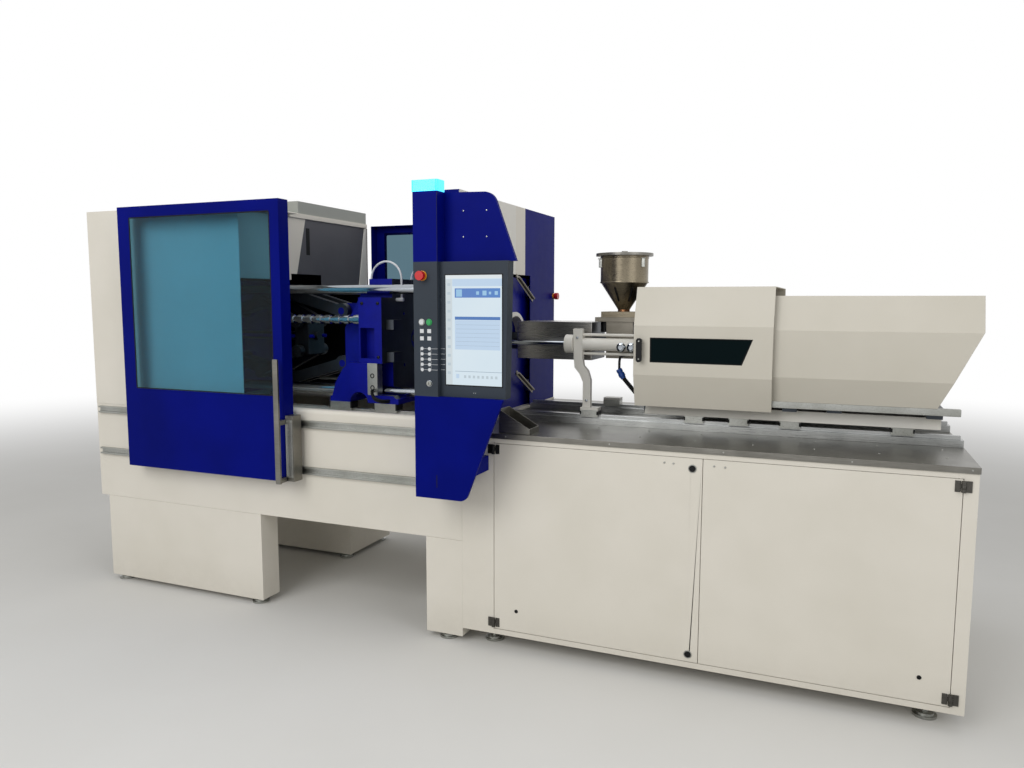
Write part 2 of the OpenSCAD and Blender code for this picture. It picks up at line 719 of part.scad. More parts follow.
// Crosshead with the ball nut and the pins of its two pairs of links
module crosshead() color("#6d7175") frame() {
    difference() {
        box(cross_x - 50, cross_x + 50, axis_y - blade_h - 26, axis_y + blade_h + 26,
            axis_z - cross_dz - 22, axis_z + cross_dz + 22);
        rod_x(cross_x - 51, cross_x + 51, axis_y, axis_z, screw_d + run);
        front_and_rear() rod_x(cross_x - 51, cross_x + 51, axis_y - 60, axis_z, 20 + run);
        above_and_below() rod_y(cross_x, axis_y - link_out, axis_y + link_out, axis_z + cross_dz, small_pin_d);
    }
    above_and_below() rod_y(cross_x, axis_y - link_out, axis_y + link_out, axis_z + cross_dz, small_pin_d);
}

// Link with two eyes, drawn from its pivot along the given angle
module link_outline(x, z, l, angle, d1, d2, w) {
    translate([x, z]) rotate(angle) {
        circle(d = d1);
        translate([l, 0]) circle(d = d2);
        translate([0, -w / 2]) square([l, w]);
    }
}

// Link between the rear platen and a knee, with the stub pin of the crosshead's link
module rear_link_upper() color("#7d8185") frame() rear_link();

module rear_link_lower() color("#7d8185") frame() below() rear_link();

module rear_link() {
    difference() {
        slab_y(axis_y - blade_h, axis_y + blade_h)
            link_outline(rear_pivot_x, pivot_z, link_l, knee_angle, eye_d, eye_d, eye_d * 0.7);
        rod_y(rear_pivot_x, axis_y - blade_h - 1, axis_y + blade_h + 1, pivot_z, pin_d + run);
        rod_y(lug_x, axis_y - blade_h - 1, axis_y + blade_h + 1, lug_z, small_pin_d);
    }
    rod_y(lug_x, axis_y - plane2 + seat, axis_y + plane2 - seat, lug_z, small_pin_d);
}

// Pair of side links between a knee and the moving platen
module front_link_upper() color("#878b8f") frame() front_link();

module front_link_lower() color("#878b8f") frame() below() front_link();

module front_link() {
    front_and_rear() difference() {
        slab_y(axis_y - plane1 - blade_t, axis_y - plane1)
            link_outline(front_pivot_x, pivot_z, link_l, 180 - knee_angle, eye_d, eye_d, eye_d * 0.7);
        rod_y(front_pivot_x, axis_y - link_out, axis_y, pivot_z, pin_d + run);
    }
}

// Pair of side links from the crosshead to a rear link
module cross_link_upper() color("#8f9397") frame() cross_link();

module cross_link_lower() color("#8f9397") frame() below() cross_link();

module cross_link() {
    front_and_rear() difference() {
        slab_y(axis_y - link_out, axis_y - plane2)
            link_outline(cross_x, axis_z + cross_dz, cross_l, cross_angle, 70, 70, 46);
        rod_y(cross_x, axis_y - link_out - 1, axis_y, axis_z + cross_dz, small_pin_d + run);
    }
}

// Moving platen: plate between the tie bars, side blocks, toggle lugs and arched feet on the rail carriages
module moving_platen() color("#0c1ca0") frame() {
    x0 = moving_x - moving_t;
    mid_w = tie_dy - tie_d - 20;
    difference() {
        union() {
            box(x0, moving_x, axis_y - mid_w / 2, axis_y + mid_w / 2, shoe_top + 27, tie_z1 + 57);
            front_and_rear() {
                box(x0, moving_x, platen_y0 + 10, axis_y - mid_w / 2, block_z0, block_z1);
                slab_y(platen_y0, platen_y0 + 50) foot_outline(x0);
                box(x0 - 180, x0 - 55, platen_y0, axis_y, shoe_top, shoe_top + 27);
                box(x0 + 55, x0 + 240, platen_y0, axis_y, shoe_top, shoe_top + 27);
                box(x0 - 180, x0 - 150, axis_y - 230, axis_y - 200, shoe_top, axis_z + 60);
                slab_y(axis_y - 230, axis_y - 200) polygon([[x0 - 180, shoe_top + 27], [x0, shoe_top + 27],
                    [x0, tie_z1], [x0 - 60, tie_z1], [x0 - 180, axis_z + 60]]);
                slab_y(platen_y0 + 96, axis_y - mid_w / 2) polygon([[x0, block_z1 - 8], [x0 - 85, block_z1 - 75],
                    [x0 - 85, axis_z + 110], [x0, axis_z + 110]]);
            }
            above_and_below() {
                rod_y(front_pivot_x, axis_y - blade_h - seat, axis_y + blade_h + seat, pivot_z, eye_d);
                box(front_pivot_x, x0, axis_y - blade_h - seat, axis_y + blade_h + seat,
                    pivot_z - eye_d / 2, pivot_z + eye_d / 2);
            }
        }
        // Pocket in each side block
        front_and_rear() box(x0 + 10, x0 + 95, platen_y0, platen_y0 + 70, block_z0 + 25, block_z0 + 185);
        rod_x(moving_x - 20, moving_x + 1, axis_y, axis_z, ring_d);
        rod_x(x0 - 1, moving_x + 1, axis_y, axis_z, 40 + run);
        mould_holes(moving_x - 35, moving_x + 1);
        above_and_below() rod_y(front_pivot_x, axis_y - blade_h - 1, axis_y + blade_h + 1, pivot_z, pin_d);
    }
    above_and_below() rod_y(front_pivot_x, axis_y - plane1 - blade_t, axis_y + plane1 + blade_t, pivot_z, pin_d);
}

// Side of a platen foot, with its arch
module foot_outline(x0) {
    difference() {
        polygon([[x0 - 180, shoe_top], [x0 - 170, shoe_top + 22], [x0 - 145, shoe_top + 102],
            [x0 - 100, block_z0 - 35], [x0 - 60, block_z0], [x0 + 55, block_z0], [x0 + 55, shoe_top + 42],
            [x0 + 210, shoe_top + 42], [x0 + 240, shoe_top + 17], [x0 + 240, shoe_top]]);
        translate([x0, shoe_top]) circle(55);
    }
}

// What is bolted to the moving platen: rail carriages, coolant block, mould clamps and the ejector's drive
module platen_fittings() color("#b3b5b2") frame() {
    x0 = moving_x - moving_t;
    web_y = axis_y - 215;
    front_and_rear() for (x = [x0 - 117, x0 + 160]) shoe(x, 140, axis_y - clamp_rail_y, deck_z, shoe_h);
    box(x0 + 55, x0 + 115, platen_y0, platen_y0 + 50, shoe_top + 42, block_z0);
    front_and_rear() for (z = [block_z0 + 6, block_z1 - 168])
        box(moving_x, moving_x + 45, tie_y0 - 30, tie_y0 + 60, z, z + 52);
    box(x0 - 50, x0, axis_y + 100, axis_y + 190, axis_z - 45, axis_z + 45);
    // Coolant pipes that bend over the platen's top edge
    pipe_d = 11;
    reach = 14;
    bend_r = moving_t / 2 + reach + 9;
    mid = x0 + bend_r - reach;
    top = tie_z1 + 57;
    front_and_rear() {
        translate([mid, web_y, top]) rotate([90, 0, 0]) difference() {
            rotate_extrude() translate([bend_r, 0]) circle(d = pipe_d);
            translate([-bend_r - pipe_d, -bend_r - pipe_d, -pipe_d])
                cube([2 * bend_r + 2 * pipe_d, bend_r + pipe_d, 2 * pipe_d]);
        }
        rod_z(mid - bend_r, web_y, tie_z1, top, pipe_d);
        rod_z(mid + bend_r, web_y, top - 105, top, pipe_d);
        rod_x(moving_x, mid + bend_r + pipe_d, web_y, top - 110, pipe_d + 8);
    }
}

// Rail carriage that wraps a guide rail
module shoe(x, l, y, z, h) {
    difference() {
        box(x - l / 2, x + l / 2, y - 32, y + 32, z + 6, z + h);
        box(x - l / 2 - 1, x + l / 2 + 1, y - rail_w / 2 - seat, y + rail_w / 2 + seat, z, z + rail_h + seat);
    }
}

// Notched rod of the mechanical drop bar
module safety_rod() color("#c5c7c8") frame() {
    x1 = moving_x - moving_t;
    y = platen_y0 + 66;
    z = axis_z + 108;
    rod_x(x1 - 480, x1, y, z, 36);
    for (i = [0:7]) rod_x(x1 - 480 + 60 * i, x1 - 450 + 60 * i, y, z, 50);
    rod_x(x1 - 48, x1, y, z, 54);
}

// Ejector: rod through the moving platen and the plate that pushes it
module ejector() color("#a7aaad") frame() {
    x0 = moving_x - moving_t;
    rod_x(x0 - 130, moving_x - 22, axis_y, axis_z, 40);
    box(x0 - 150, x0 - 130, axis_y - 70, axis_y + 70, axis_z - 70, axis_z + 70);
}

// Front guard door: folded pan with a window opening and the runners in the guide rails
module guard_door() color("#0b1a8c") frame() guard_pan(guard_x, 80, 430, 56, 55);

// Pan of a guard door: left end, window inset at the left, height of the solid part, top and right insets
module guard_pan(x0, inset, solid_h, top, right) {
    x1 = x0 + guard_l;
    difference() {
        box(x0, x1, guard_y, -guard_gap, guard_z0, guard_z1);
        box(x0 + sheet, x1 - sheet, guard_y + sheet, -guard_gap + 1, guard_z0 + sheet, guard_z1 - sheet);
        translate([x0 + inset, 0, guard_z0 + solid_h]) slab_y(guard_y - 1, guard_y + sheet + 1)
            rounded(guard_l - inset - right, guard_z1 - guard_z0 - solid_h - top, 10);
    }
    for (z = guide_levels) {
        box(x0 + sheet, x1 - sheet, guard_y + sheet, -guard_gap, z - 15, z + 15);
        for (x = [x0 + 60, x1 - 180]) {
            box(x, x + 120, -guard_gap, -guide_t - seat, z - 15, z + 15);
            box(x, x + 120, -guide_t - seat, -4 - seat, z - 9.7, z + 9.7);
        }
    }
}

// Tinted pane behind the front door's opening
module guard_window() color("#4a7f95") frame() guard_pane(guard_x, 80, 430, 56, 55);

module guard_pane(x0, inset, solid_h, top, right) {
    box(x0 + inset - 15, x0 + guard_l - right + 15, guard_y + sheet, guard_y + sheet + 6,
        guard_z0 + solid_h - 15, guard_z1 - top + 15);
}

// Bar handle with its brackets and the latch box at the door's right edge
module guard_handle() color("#c2c4c5") frame() {
    x1 = guard_x + guard_l;
    box(x1 - 22, x1 + 8, guard_y - 52, guard_y - 40, guard_z0 - 2, guard_z0 + 618);
    for (z = [guard_z0 + 2, guard_z0 + 292]) box(x1 - 22, x1 + 8, guard_y - 40, guard_y, z, z + 24);
    box(x1, x1 + 48, guard_y + 5, -guard_gap - 5, guard_z0 + 2, guard_z0 + 335);
}

// Rear guard door, closed at rest, with its own handle
module rear_door() color("#0b1a8c") frame() translate([0, base_w, 0]) mirror([0, 1, 0]) {
    guard_pan(cover_l - 53, 80, 430, 56, 80);
    box(cover_l, cover_l + 24, guard_y - handle_out, guard_y - handle_out + 12, 1000, 1300);
    for (z = [1010, 1270]) box(cover_l, cover_l + 24, guard_y - handle_out + 12, guard_y, z, z + 20);
}

module rear_window() color("#4a7f95") frame() translate([0, base_w, 0]) mirror([0, 1, 0])
    guard_pane(cover_l - 53, 80, 430, 56, 80);

// Folded cabinet door, open at the back, with its hinge knuckles
module cabinet_door_left() color("#eceae2") frame() difference() {
    door_pan(door_x0 + door_gap, door_mid - door_gap / 2, door_x0 + 1, 1);
    for (z = lock_levels) rod_y(door_mid - lock_inset, -1, door_t + 1, z, lock_d + run);
}

module cabinet_door_right() color("#eceae2") frame()
    door_pan(door_mid + door_gap / 2, door_x1 - door_gap, door_x1 - 1, -1);

module door_pan(x0, x1, hinge_x, side) {
    difference() {
        box(x0, x1, 0, door_t, door_z0 + door_gap, door_z1 - door_gap);
        box(x0 + door_sheet, x1 - door_sheet, door_sheet, door_t + 1,
            door_z0 + door_gap + door_sheet, door_z1 - door_gap - door_sheet);
    }
    for (z = hinge_levels) difference() {
        translate([hinge_x, hinge_y, z - hinge_h / 2]) {
            cylinder(h = hinge_h, d = 16);
            translate([side > 0 ? 0 : -28, 4, 0]) cube([28, -hinge_y - 4, hinge_h]);
            translate([side > 0 ? 4 : -8, 0, 0]) cube([4, 6, hinge_h]);
        }
        rod_z(hinge_x, hinge_y, z - hinge_h, z + hinge_h, hinge_pin_d + run);
    }
    for (z = hinge_levels) hinge_leaf(hinge_x, z, side);
}

// Quarter turn locks with their cams, unlocked at rest
module lock_upper() color("#55595d") frame() quarter_lock(lock_levels[1], -1);

module lock_lower() color("#55595d") frame() quarter_lock(lock_levels[0], 1);

module quarter_lock(z, way) {
    x = door_mid - lock_inset;
    rod_y(x, -3 - seat, -seat, z, lock_d + 6);
    rod_y(x, -seat, frame_t + seat, z, lock_d);
    box(x - 8, x + 8, frame_t + seat, frame_t + seat + 4, way > 0 ? z - 8 : z - 50, way > 0 ? z + 50 : z + 8);
}

// Carriage of the injection unit: beams on rail carriages, two plates, drive bars and the covers' rails
module injection_carriage() color("#8e9396") frame() {
    x0 = front_plate_x;
    end = rear_cover_x1 - 60;
    difference() {
        union() {
            box(x0, x0 + 80, axis_y - 255, axis_y + 255, inj_beam_z1, axis_z + 170);
            box(rear_plate_x, rear_plate_x + 60, axis_y - 255, axis_y + 255, inj_beam_z1, axis_z + 170);
            front_and_rear() {
                box(x0, rear_plate_x + 440, axis_y - 255, axis_y - 165, inj_shoe_top, inj_beam_z1);
                box(x0 - 14, end, cover_rail_y, cover_rail_y + 30, cover_rail_z, cover_rail_z + cover_rail_h);
                for (x = [x0 + 20, x0 + 620, end - 120])
                    box(x, x + 60, cover_rail_y + 30, axis_y - 165, inj_beam_z1, cover_rail_z + cover_rail_h);
                box(hopper_x - 150, hopper_x - 60, axis_y - 240, axis_y - 180, inj_shoe_top, inj_shoe_top + 12);
            }
        }
        rod_x(x0 - 1, x0 + 81, axis_y, axis_z, barrel_d);
        front_and_rear() rod_x(x0 - 1, x0 + 81, sleeve_y, axis_z, guide_d + run);
        rod_x(rear_plate_x - 1, rear_plate_x + 61, axis_y, axis_z, 200);
        front_and_rear() for (x = [x0 + 60, rear_plate_x]) rod_x(x, x + 20, axis_y - 140, axis_z, 40);
    }
    front_and_rear() rod_x(x0 + 60, rear_plate_x + 20, axis_y - 140, axis_z, 40);
    front_and_rear() {
        shoe(hopper_x - 105, 90, axis_y - inj_rail_y, beam_top, inj_shoe_top - beam_top);
        for (x = [x0 + 230, x0 + 430, x0 + 650, x0 + 1100])
            shoe(x, 90, axis_y - inj_rail_y, beam_top, inj_shoe_top - beam_top);
    }
}

// Two motors behind the rear plate that drive the pressure plate
module injection_motors() color("#2a2d31") frame() {
    x = rear_plate_x + 60;
    front_and_rear() {
        box(x, x + 20, axis_y - 215, axis_y - 65, axis_z - 75, axis_z + 75);
        rod_x(x + 20, x + 280, axis_y - 140, axis_z, 130);
        box(x + 100, x + 180, axis_y - 175, axis_y - 105, axis_z + 55, axis_z + 110);
    }
    // Heater cable in its conduit, from the feed throat to the carriage's front beam, with its connector
    cable_d = 12;
    bend_r = 30;
    cable_x = hopper_x + 28;
    cable_y = axis_y - 180;
    cable_z = axis_z - 60;
    plug0 = [cable_x, cable_y, axis_z - 126];
    plug1 = [cable_x + 22, cable_y, axis_z - 164];
    rod_y(cable_x, cable_y + bend_r, axis_y - 80, cable_z, cable_d);
    translate([cable_x, cable_y + bend_r, cable_z - bend_r]) intersection() {
        rotate([0, 90, 0]) rotate_extrude() translate([bend_r, 0]) circle(d = cable_d);
        translate([-cable_d, -bend_r - cable_d, 0]) cube([2 * cable_d, bend_r + cable_d, bend_r + cable_d]);
    }
    rod_z(cable_x, cable_y, plug0[2] - 8, cable_z - bend_r, cable_d);
    straight(plug0, plug1, 2 * cable_d);
    difference() {
        straight([plug1[0] - 6, cable_y, plug1[2] + 10], [front_plate_x + 8, cable_y - 26, inj_beam_z1 - 30], cable_d);
        box(front_plate_x, front_plate_x + 50, cable_y - 50, cable_y, inj_beam_z1 - 80, inj_beam_z1);
    }
}

// Barrel with its nozzle, heater bands and feed opening
module barrel() color("#9b9ea0") frame() {
    nose = nozzle_x + 95;
    band_l = 60;
    band_step = 76;
    band_x = barrel_cover_x + 12;
    difference() {
        union() {
            rod_x(nose, front_plate_x + 80, axis_y, axis_z, barrel_d);
            rod_x(nozzle_x + 30, nose, axis_y, axis_z, 50);
            rod_x(nozzle_x, nozzle_x + 30, axis_y, axis_z, 30);
            for (i = [0:4])
                rod_x(band_x + band_step * i, band_x + band_step * i + band_l, axis_y, axis_z, barrel_d + 14);
        }
        rod_x(nose + 20, front_plate_x + 81, axis_y, axis_z, plast_d + run);
        rod_x(nozzle_x - 1, nose + 21, axis_y, axis_z, 5);
        rod_z(hopper_x, axis_y, axis_z, axis_z + barrel_d, plast_d);
    }
}

// Polished sheet around the heated barrel
module barrel_cover() color("#bfc3c8") frame() {
    x0 = barrel_cover_x;
    x1 = hopper_x - 130;
    difference() {
        box(x0, x1, axis_y - 120, axis_y + 120, axis_z - 85, axis_z + 105);
        box(x0 + 3, x1 - 3, axis_y - 117, axis_y + 117, axis_z - 86, axis_z + 102);
        rod_x(x0 - 1, x1 + 1, axis_y, axis_z, barrel_d);
    }
}

// Cream bracket in front of the barrel: sleeve, thin stays and the cranked leg on its rail carriage
module barrel_bracket() color("#e6e2d3") frame() {
    x = hopper_x - 194;
    sleeve_d = 61;
    difference() {
        union() {
            slab_y(sleeve_y - 25, sleeve_y + 5) polygon([[x, axis_z + 75], [x + 48, axis_z + 75],
                [x + 48, axis_z - 70], [x + 54, axis_z - 105], [x + 76, axis_z - 130], [x + 90, axis_z - 175],
                [x + 90, inj_shoe_top + 12], [x + 52, inj_shoe_top + 12], [x + 52, axis_z - 185],
                [x + 34, axis_z - 145], [x + 9, axis_z - 115], [x + 4, axis_z - 70]]);
            rod_x(x - 42, x, sleeve_y, axis_z, 90);
            box(x, x + 48, sleeve_y, sleeve_y + 20, axis_z - 45, axis_z + 45);
            rod_x(x + 48, front_plate_x, sleeve_y, axis_z, sleeve_d);
            for (dz = [-46, 46]) rod_x(x + 40, front_plate_x, sleeve_y - 4, axis_z + dz, 14);
        }
        rod_x(x - 43, front_plate_x + 1, sleeve_y, axis_z, guide_d + 2);
    }
}

// Feed throat on the barrel, with the plate that the hopper slides on and the drain spout
module feed_throat() color("#8b8f92") frame() difference() {
    union() {
        box(hopper_x - 68, hopper_x + 68, axis_y - 80, axis_y + 80, axis_z - 75, feed_z);
        box(hopper_x - 124, hopper_x + 92, axis_y - 90, axis_y + 90, feed_z, gate_z);
        rod_z(drain_x, axis_y, feed_z - 55, feed_z, 46);
    }
    rod_x(hopper_x - 69, hopper_x + 69, axis_y, axis_z, barrel_d);
    rod_z(hopper_x, axis_y, axis_z, gate_z + 1, plast_d + 8);
    rod_z(drain_x, axis_y, feed_z - 56, gate_z + 1, 36);
}

// Steel hopper on its sliding flange, with the ears of the lid's hinge
module hopper() color("#9a9389") frame() {
    z = gate_z + seat;
    t = 2.5;
    neck = 30;
    r = hopper_d / 2;
    difference() {
        box(hopper_x - 92, hopper_x + 92, axis_y - 92, axis_y + 92, z, z + 28);
        rod_z(hopper_x, axis_y, z - 1, z + 29, 2 * neck - 2 * t);
    }
    translate([hopper_x, axis_y, z + 28]) rotate_extrude() polygon([[neck, 0], [neck, 10], [r, 145],
        [r, 274], [r - t, 274], [r - t, 145], [neck - t, 10], [neck - t, 0]]);
    for (dx = [-26, 16]) difference() {
        union() {
            box(hopper_x + dx, hopper_x + dx + 10, axis_y + r - 2, lid_hinge_y, z + 250, z + 301);
            rod_x(hopper_x + dx, hopper_x + dx + 10, lid_hinge_y, lid_hinge_z, 16);
        }
        rod_x(hopper_x - 30, hopper_x + 30, lid_hinge_y, lid_hinge_z, 8);
        translate([hopper_x, axis_y, z + 249]) cylinder(h = 60, r = r - 0.5);
    }
    rod_x(hopper_x - 26, hopper_x + 26, lid_hinge_y, lid_hinge_z, 8);
}

// Lid with a grip and its hinge knuckle
module hopper_lid() color("#a79f92") frame() {
    z = gate_z + seat + 302 + seat;
    difference() {
        union() {
            rod_z(hopper_x, axis_y, z, z + 14, lid_d);
            rod_z(hopper_x, axis_y, z + 14, z + 26, 30);
            box(hopper_x - 15.5, hopper_x + 15.5, axis_y + lid_d / 2 - 10, axis_y + lid_d / 2 + 12, z - 17, z + 8);
        }
        rod_x(hopper_x - 30, hopper_x + 30, lid_hinge_y, lid_hinge_z, 8 + run);
        translate([hopper_x, axis_y, z - 30]) cylinder(h = 30, r = hopper_d / 2 + 6);
    }
}

// Plasticising screw in the barrel
module plasticising_screw() color("#c0c2c4") frame() {
    rod_x(nozzle_x + 150, pressure_x + 40, axis_y, axis_z, plast_d);
    translate([nozzle_x + 125, axis_y, axis_z]) rotate([0, 90, 0]) cylinder(h = 25, d1 = 6, d2 = plast_d);
}

// Pressure plate on the drive bars, with the motor that turns the screw
module pressure_plate() color("#6a6e72") frame() {
    difference() {
        union() {
            box(pressure_x, pressure_x + 80, axis_y - 200, axis_y + 200, axis_z - 110, axis_z + 110);
            rod_x(pressure_x + 80, pressure_x + 240, axis_y, axis_z, 160);
        }
        rod_x(pressure_x - 1, pressure_x + 41, axis_y, axis_z, plast_d + run);
        front_and_rear() rod_x(pressure_x - 1, pressure_x + 81, axis_y - 140, axis_z, 40 + run);
    }
}

// Section of an injection cover in Y and Z: side wall place, upper and lower edge, and its inset
module cover_section(y, z0, z1, bend0, bend1, lean, tuck, t) {
    w = base_w;
    polygon([[y + tuck + t, z0], [y + t, bend0], [y + t, bend1 + t / 4], [y + lean + t * 0.9, z1 - t],
        [w - y - lean - t * 0.9, z1 - t], [w - y - t, bend1 + t / 4], [w - y - t, bend0], [w - y - tuck - t, z0]]);
}

// Front injection cover, which slides back over the rear one on the carriage's cover rails
module front_cover() color("#efede5") frame() {
    x0 = front_cover_x;
    x1 = front_cover_x + front_cover_l;
    difference() {
        slab_x(x0, x1) cover_section(cover_y, cover_z0, cover_z1, 1293, 1515, 54, 42, 0);
        slab_x(x0 - 1, x1 + 1) cover_section(cover_y, cover_z0 - 1, cover_z1, 1293, 1515, 54, 42, 3);
        translate([0, cover_y + 10, 0]) slab_y(-11, 0) window_outline();
    }
    difference() {
        slab_x(x0, x0 + 3) cover_section(cover_y, cover_z0, cover_z1, 1293, 1515, 54, 42, 3);
        box(x0 - 1, x0 + 4, 385, base_w - 385, cover_z0 - 1, 1612);
        box(x0 - 1, x0 + 4, 0, base_w, cover_z0 - 1, 1212);
    }
    front_and_rear() {
        box(x0, x1, cover_y + 43, cover_rail_y + 29, cover_z0, cover_z0 + 3);
        for (x = [x0 + 20, x1 - 80])
            box(x, x + 60, cover_rail_y + 2, cover_rail_y + 28, cover_z0 + 3, cover_rail_z - seat);
    }
}

module window_outline() {
    polygon([[front_cover_x + 75, 1351], [front_cover_x + 475, 1349], [front_cover_x + 518, 1461],
        [front_cover_x + 74, 1462]]);
}

// Dark pane behind the front cover's opening
module cover_window() color("#0a1a1e") frame() slab_y(cover_y + 3, cover_y + 6) offset_window();

module offset_window() {
    polygon([[front_cover_x + 62, 1340], [front_cover_x + 484, 1338], [front_cover_x + 534, 1472],
        [front_cover_x + 61, 1473]]);
}

// Bow handle on the front cover
module cover_handle() color("#1b1c1e") frame() {
    x = front_cover_x + 18;
    slab_y(cover_y - 32, cover_y - 22) translate([x, 1352]) rounded(26, 108, 12);
    for (z = [1358, 1438]) box(x + 5, x + 21, cover_y - 22, cover_y, z, z + 16);
}

// Rear injection cover with its slanted end
module rear_cover() color("#f0eee6") frame() {
    y = cover_y + cover_step;
    z0 = cover_rail_z + cover_rail_h;
    z1 = cover_z1 - 40;
    difference() {
        intersection() {
            slab_x(rear_cover_x0, rear_cover_x1 + 1) cover_section(y, z0, z1, 1302, 1502, 50, 33, 0);
            slab_y(0, base_w) end_outline(rear_cover_x1, z0, z1);
        }
        intersection() {
            slab_x(rear_cover_x0 - 1, rear_cover_x1) cover_section(y, z0 - 1, z1, 1302, 1502, 50, 33, 3);
            slab_y(0, base_w) end_outline(rear_cover_x1 - 4, z0 - 2, z1);
        }
    }
}

// Side of the rear cover's end
module end_outline(x1, z0, z1) {
    polygon([[rear_cover_x0 - 2, z0], [x1 - 145, z0], [x1 - 98, 1296], [x1, 1505], [x1, z1], [rear_cover_x0 - 2, z1]]);
}

// Mushroom head of a stop button, pressed along its own axis
module stop_button() color("#c8141b") frame() {
    rod_y(stop_pos[0], -column_out - stop_out, -column_out - 12, stop_pos[1], stop_d);
    rod_y(stop_pos[0], -column_out - 12, -column_out + 20, stop_pos[1], button_d);
}

module rear_stop_button() color("#c8141b") frame() {
    rod_x(portal_x1 + 12, portal_x1 + stop_out, rear_stop_pos[0], rear_stop_pos[1], stop_d);
    rod_x(portal_x1 - 20, portal_x1 + 12, rear_stop_pos[0], rear_stop_pos[1], button_d);
}

// Round push buttons and the key switch
module start_button() color("#e4ebe4") frame()
    rod_y(button_pos[0][0], -column_out - 6, -column_out + 20, button_pos[0][1], button_d);

module hold_button() color("#7fe39a") frame()
    rod_y(button_pos[1][0], -column_out - 6, -column_out + 20, button_pos[1][1], button_d);

module key_switch() color("#c9cbcc") frame() difference() {
    rod_y(key_pos[0], -column_out - 8, -column_out + 20, key_pos[1], button_d);
    box(key_pos[0] - 1.5, key_pos[0] + 1.5, -column_out - 9, -column_out - 3, key_pos[1] - 6, key_pos[1] + 6);
}

clamp_bed();
pedestals();
levelling_feet();
injection_cabinet();
table_top();
slide_rails();
guard_rails();
fixed_platen();
tie_bars();
end_cover();
roof_cover();
platen_cover();
control_column();
control_housing();
screen();
signal_light();
electrical_plate();
guide_rods();
rear_platen();
clamp_motor();
clamp_screw();
crosshead();
rear_link_upper();
rear_link_lower();
front_link_upper();
front_link_lower();
cross_link_upper();
cross_link_lower();
moving_platen();
platen_fittings();
safety_rod();
ejector();
guard_door();
guard_window();
guard_handle();
rear_door();
rear_window();
cabinet_door_left();
cabinet_door_right();
lock_upper();
lock_lower();
injection_carriage();
injection_motors();
barrel();
barrel_cover();
barrel_bracket();
feed_throat();
hopper();
hopper_lid();
plasticising_screw();
pressure_plate();
front_cover();
cover_window();
cover_handle();
rear_cover();
stop_button();
rear_stop_button();
start_button();
hold_button();
key_switch();
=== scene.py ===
"""Looks of an electric injection moulding machine on its fixed frame.

The classes give their sizes in millimetres from the front left corner of the clamp bed at the
floor, as the construction does. at() turns such a place to metres in the shared frame.
"""

import json
import logging
import math
from abc import ABC, abstractmethod
from contextlib import contextmanager
from dataclasses import dataclass, field
from enum import Enum
from typing import Any, Callable, Iterable, Iterator, Sequence

import bpy
from mathutils import Matrix, Vector
from mathutils.bvhtree import BVHTree

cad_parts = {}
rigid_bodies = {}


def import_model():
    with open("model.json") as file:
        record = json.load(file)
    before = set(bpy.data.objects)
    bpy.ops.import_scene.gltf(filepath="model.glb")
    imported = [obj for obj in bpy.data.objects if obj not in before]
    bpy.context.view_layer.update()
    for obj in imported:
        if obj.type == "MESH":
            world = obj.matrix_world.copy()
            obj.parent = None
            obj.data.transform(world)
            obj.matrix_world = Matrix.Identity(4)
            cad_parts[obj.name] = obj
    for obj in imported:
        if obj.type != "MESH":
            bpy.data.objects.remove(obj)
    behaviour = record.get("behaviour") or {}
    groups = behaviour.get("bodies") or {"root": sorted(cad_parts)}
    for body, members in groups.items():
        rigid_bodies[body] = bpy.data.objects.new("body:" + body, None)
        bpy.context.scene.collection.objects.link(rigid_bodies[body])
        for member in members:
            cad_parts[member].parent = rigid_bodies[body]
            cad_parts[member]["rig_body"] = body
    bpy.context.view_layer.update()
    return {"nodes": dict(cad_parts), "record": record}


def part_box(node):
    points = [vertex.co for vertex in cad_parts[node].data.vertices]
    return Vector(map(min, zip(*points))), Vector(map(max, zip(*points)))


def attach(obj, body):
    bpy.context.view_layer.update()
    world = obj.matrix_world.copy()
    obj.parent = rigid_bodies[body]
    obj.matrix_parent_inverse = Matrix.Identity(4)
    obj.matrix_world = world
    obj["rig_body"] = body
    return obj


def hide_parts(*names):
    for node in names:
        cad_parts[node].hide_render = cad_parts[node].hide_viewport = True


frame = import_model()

LOG = logging.getLogger("moulding_machine")
MM = 0.001
BED_HEIGHT_M = 0.5
BED_WIDTH = 1300.0
BED_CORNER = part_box("clamp_bed")[0] - Vector((0.0, 0.0, BED_HEIGHT_M))

Span = tuple[float, float]
Point = tuple[float, float, float]
Piece = bpy.types.Object
Tree = bpy.types.NodeTree
Socket = bpy.types.NodeSocket
Sockets = dict[Any, Any]

FRONT = (0.0, -1.0, 0.0)
REAR = (0.0, 1.0, 0.0)
RIGHT = (1.0, 0.0, 0.0)
UP = (0.0, 0.0, 1.0)


def at(x: float, y: float, z: float) -> Vector:
    """Turns a place on the machine to the frame.

    Args:
        x: Millimetres along the machine from the left end of the bed.
        y: Millimetres to the rear from the front of the bed.
        z: Millimetres above the floor.

    Returns:
        The point in metres.
    """
    return BED_CORNER + Vector((x, y, z)) * MM


def linear(hex_colour: str) -> tuple[float, float, float, float]:
    """Turns an sRGB hex colour to the linear values that a shader takes.

    Args:
        hex_colour: Six hex digits after a hash sign.

    Returns:
        Red, green, blue and an alpha of 1.
    """
    parts = [int(hex_colour[i:i + 2], 16) / 255 for i in (1, 3, 5)]
    red, green, blue = (c / 12.92 if c <= 0.04045 else ((c + 0.055) / 1.055) ** 2.4 for c in parts)
    return red, green, blue, 1.0


def per(size_mm: float) -> float:
    """Gives the scale at which a pattern on Object coordinates repeats every size_mm."""
    return 1.0 / (size_mm * MM)


def between(value: float, span: Span) -> bool:
    """Tells whether a value lies between the ends of a span."""
    return span[0] < value < span[1]


def beyond(value: float, span: Span) -> bool:
    """Tells whether a value lies outside a span."""
    return value < span[0] or value > span[1]


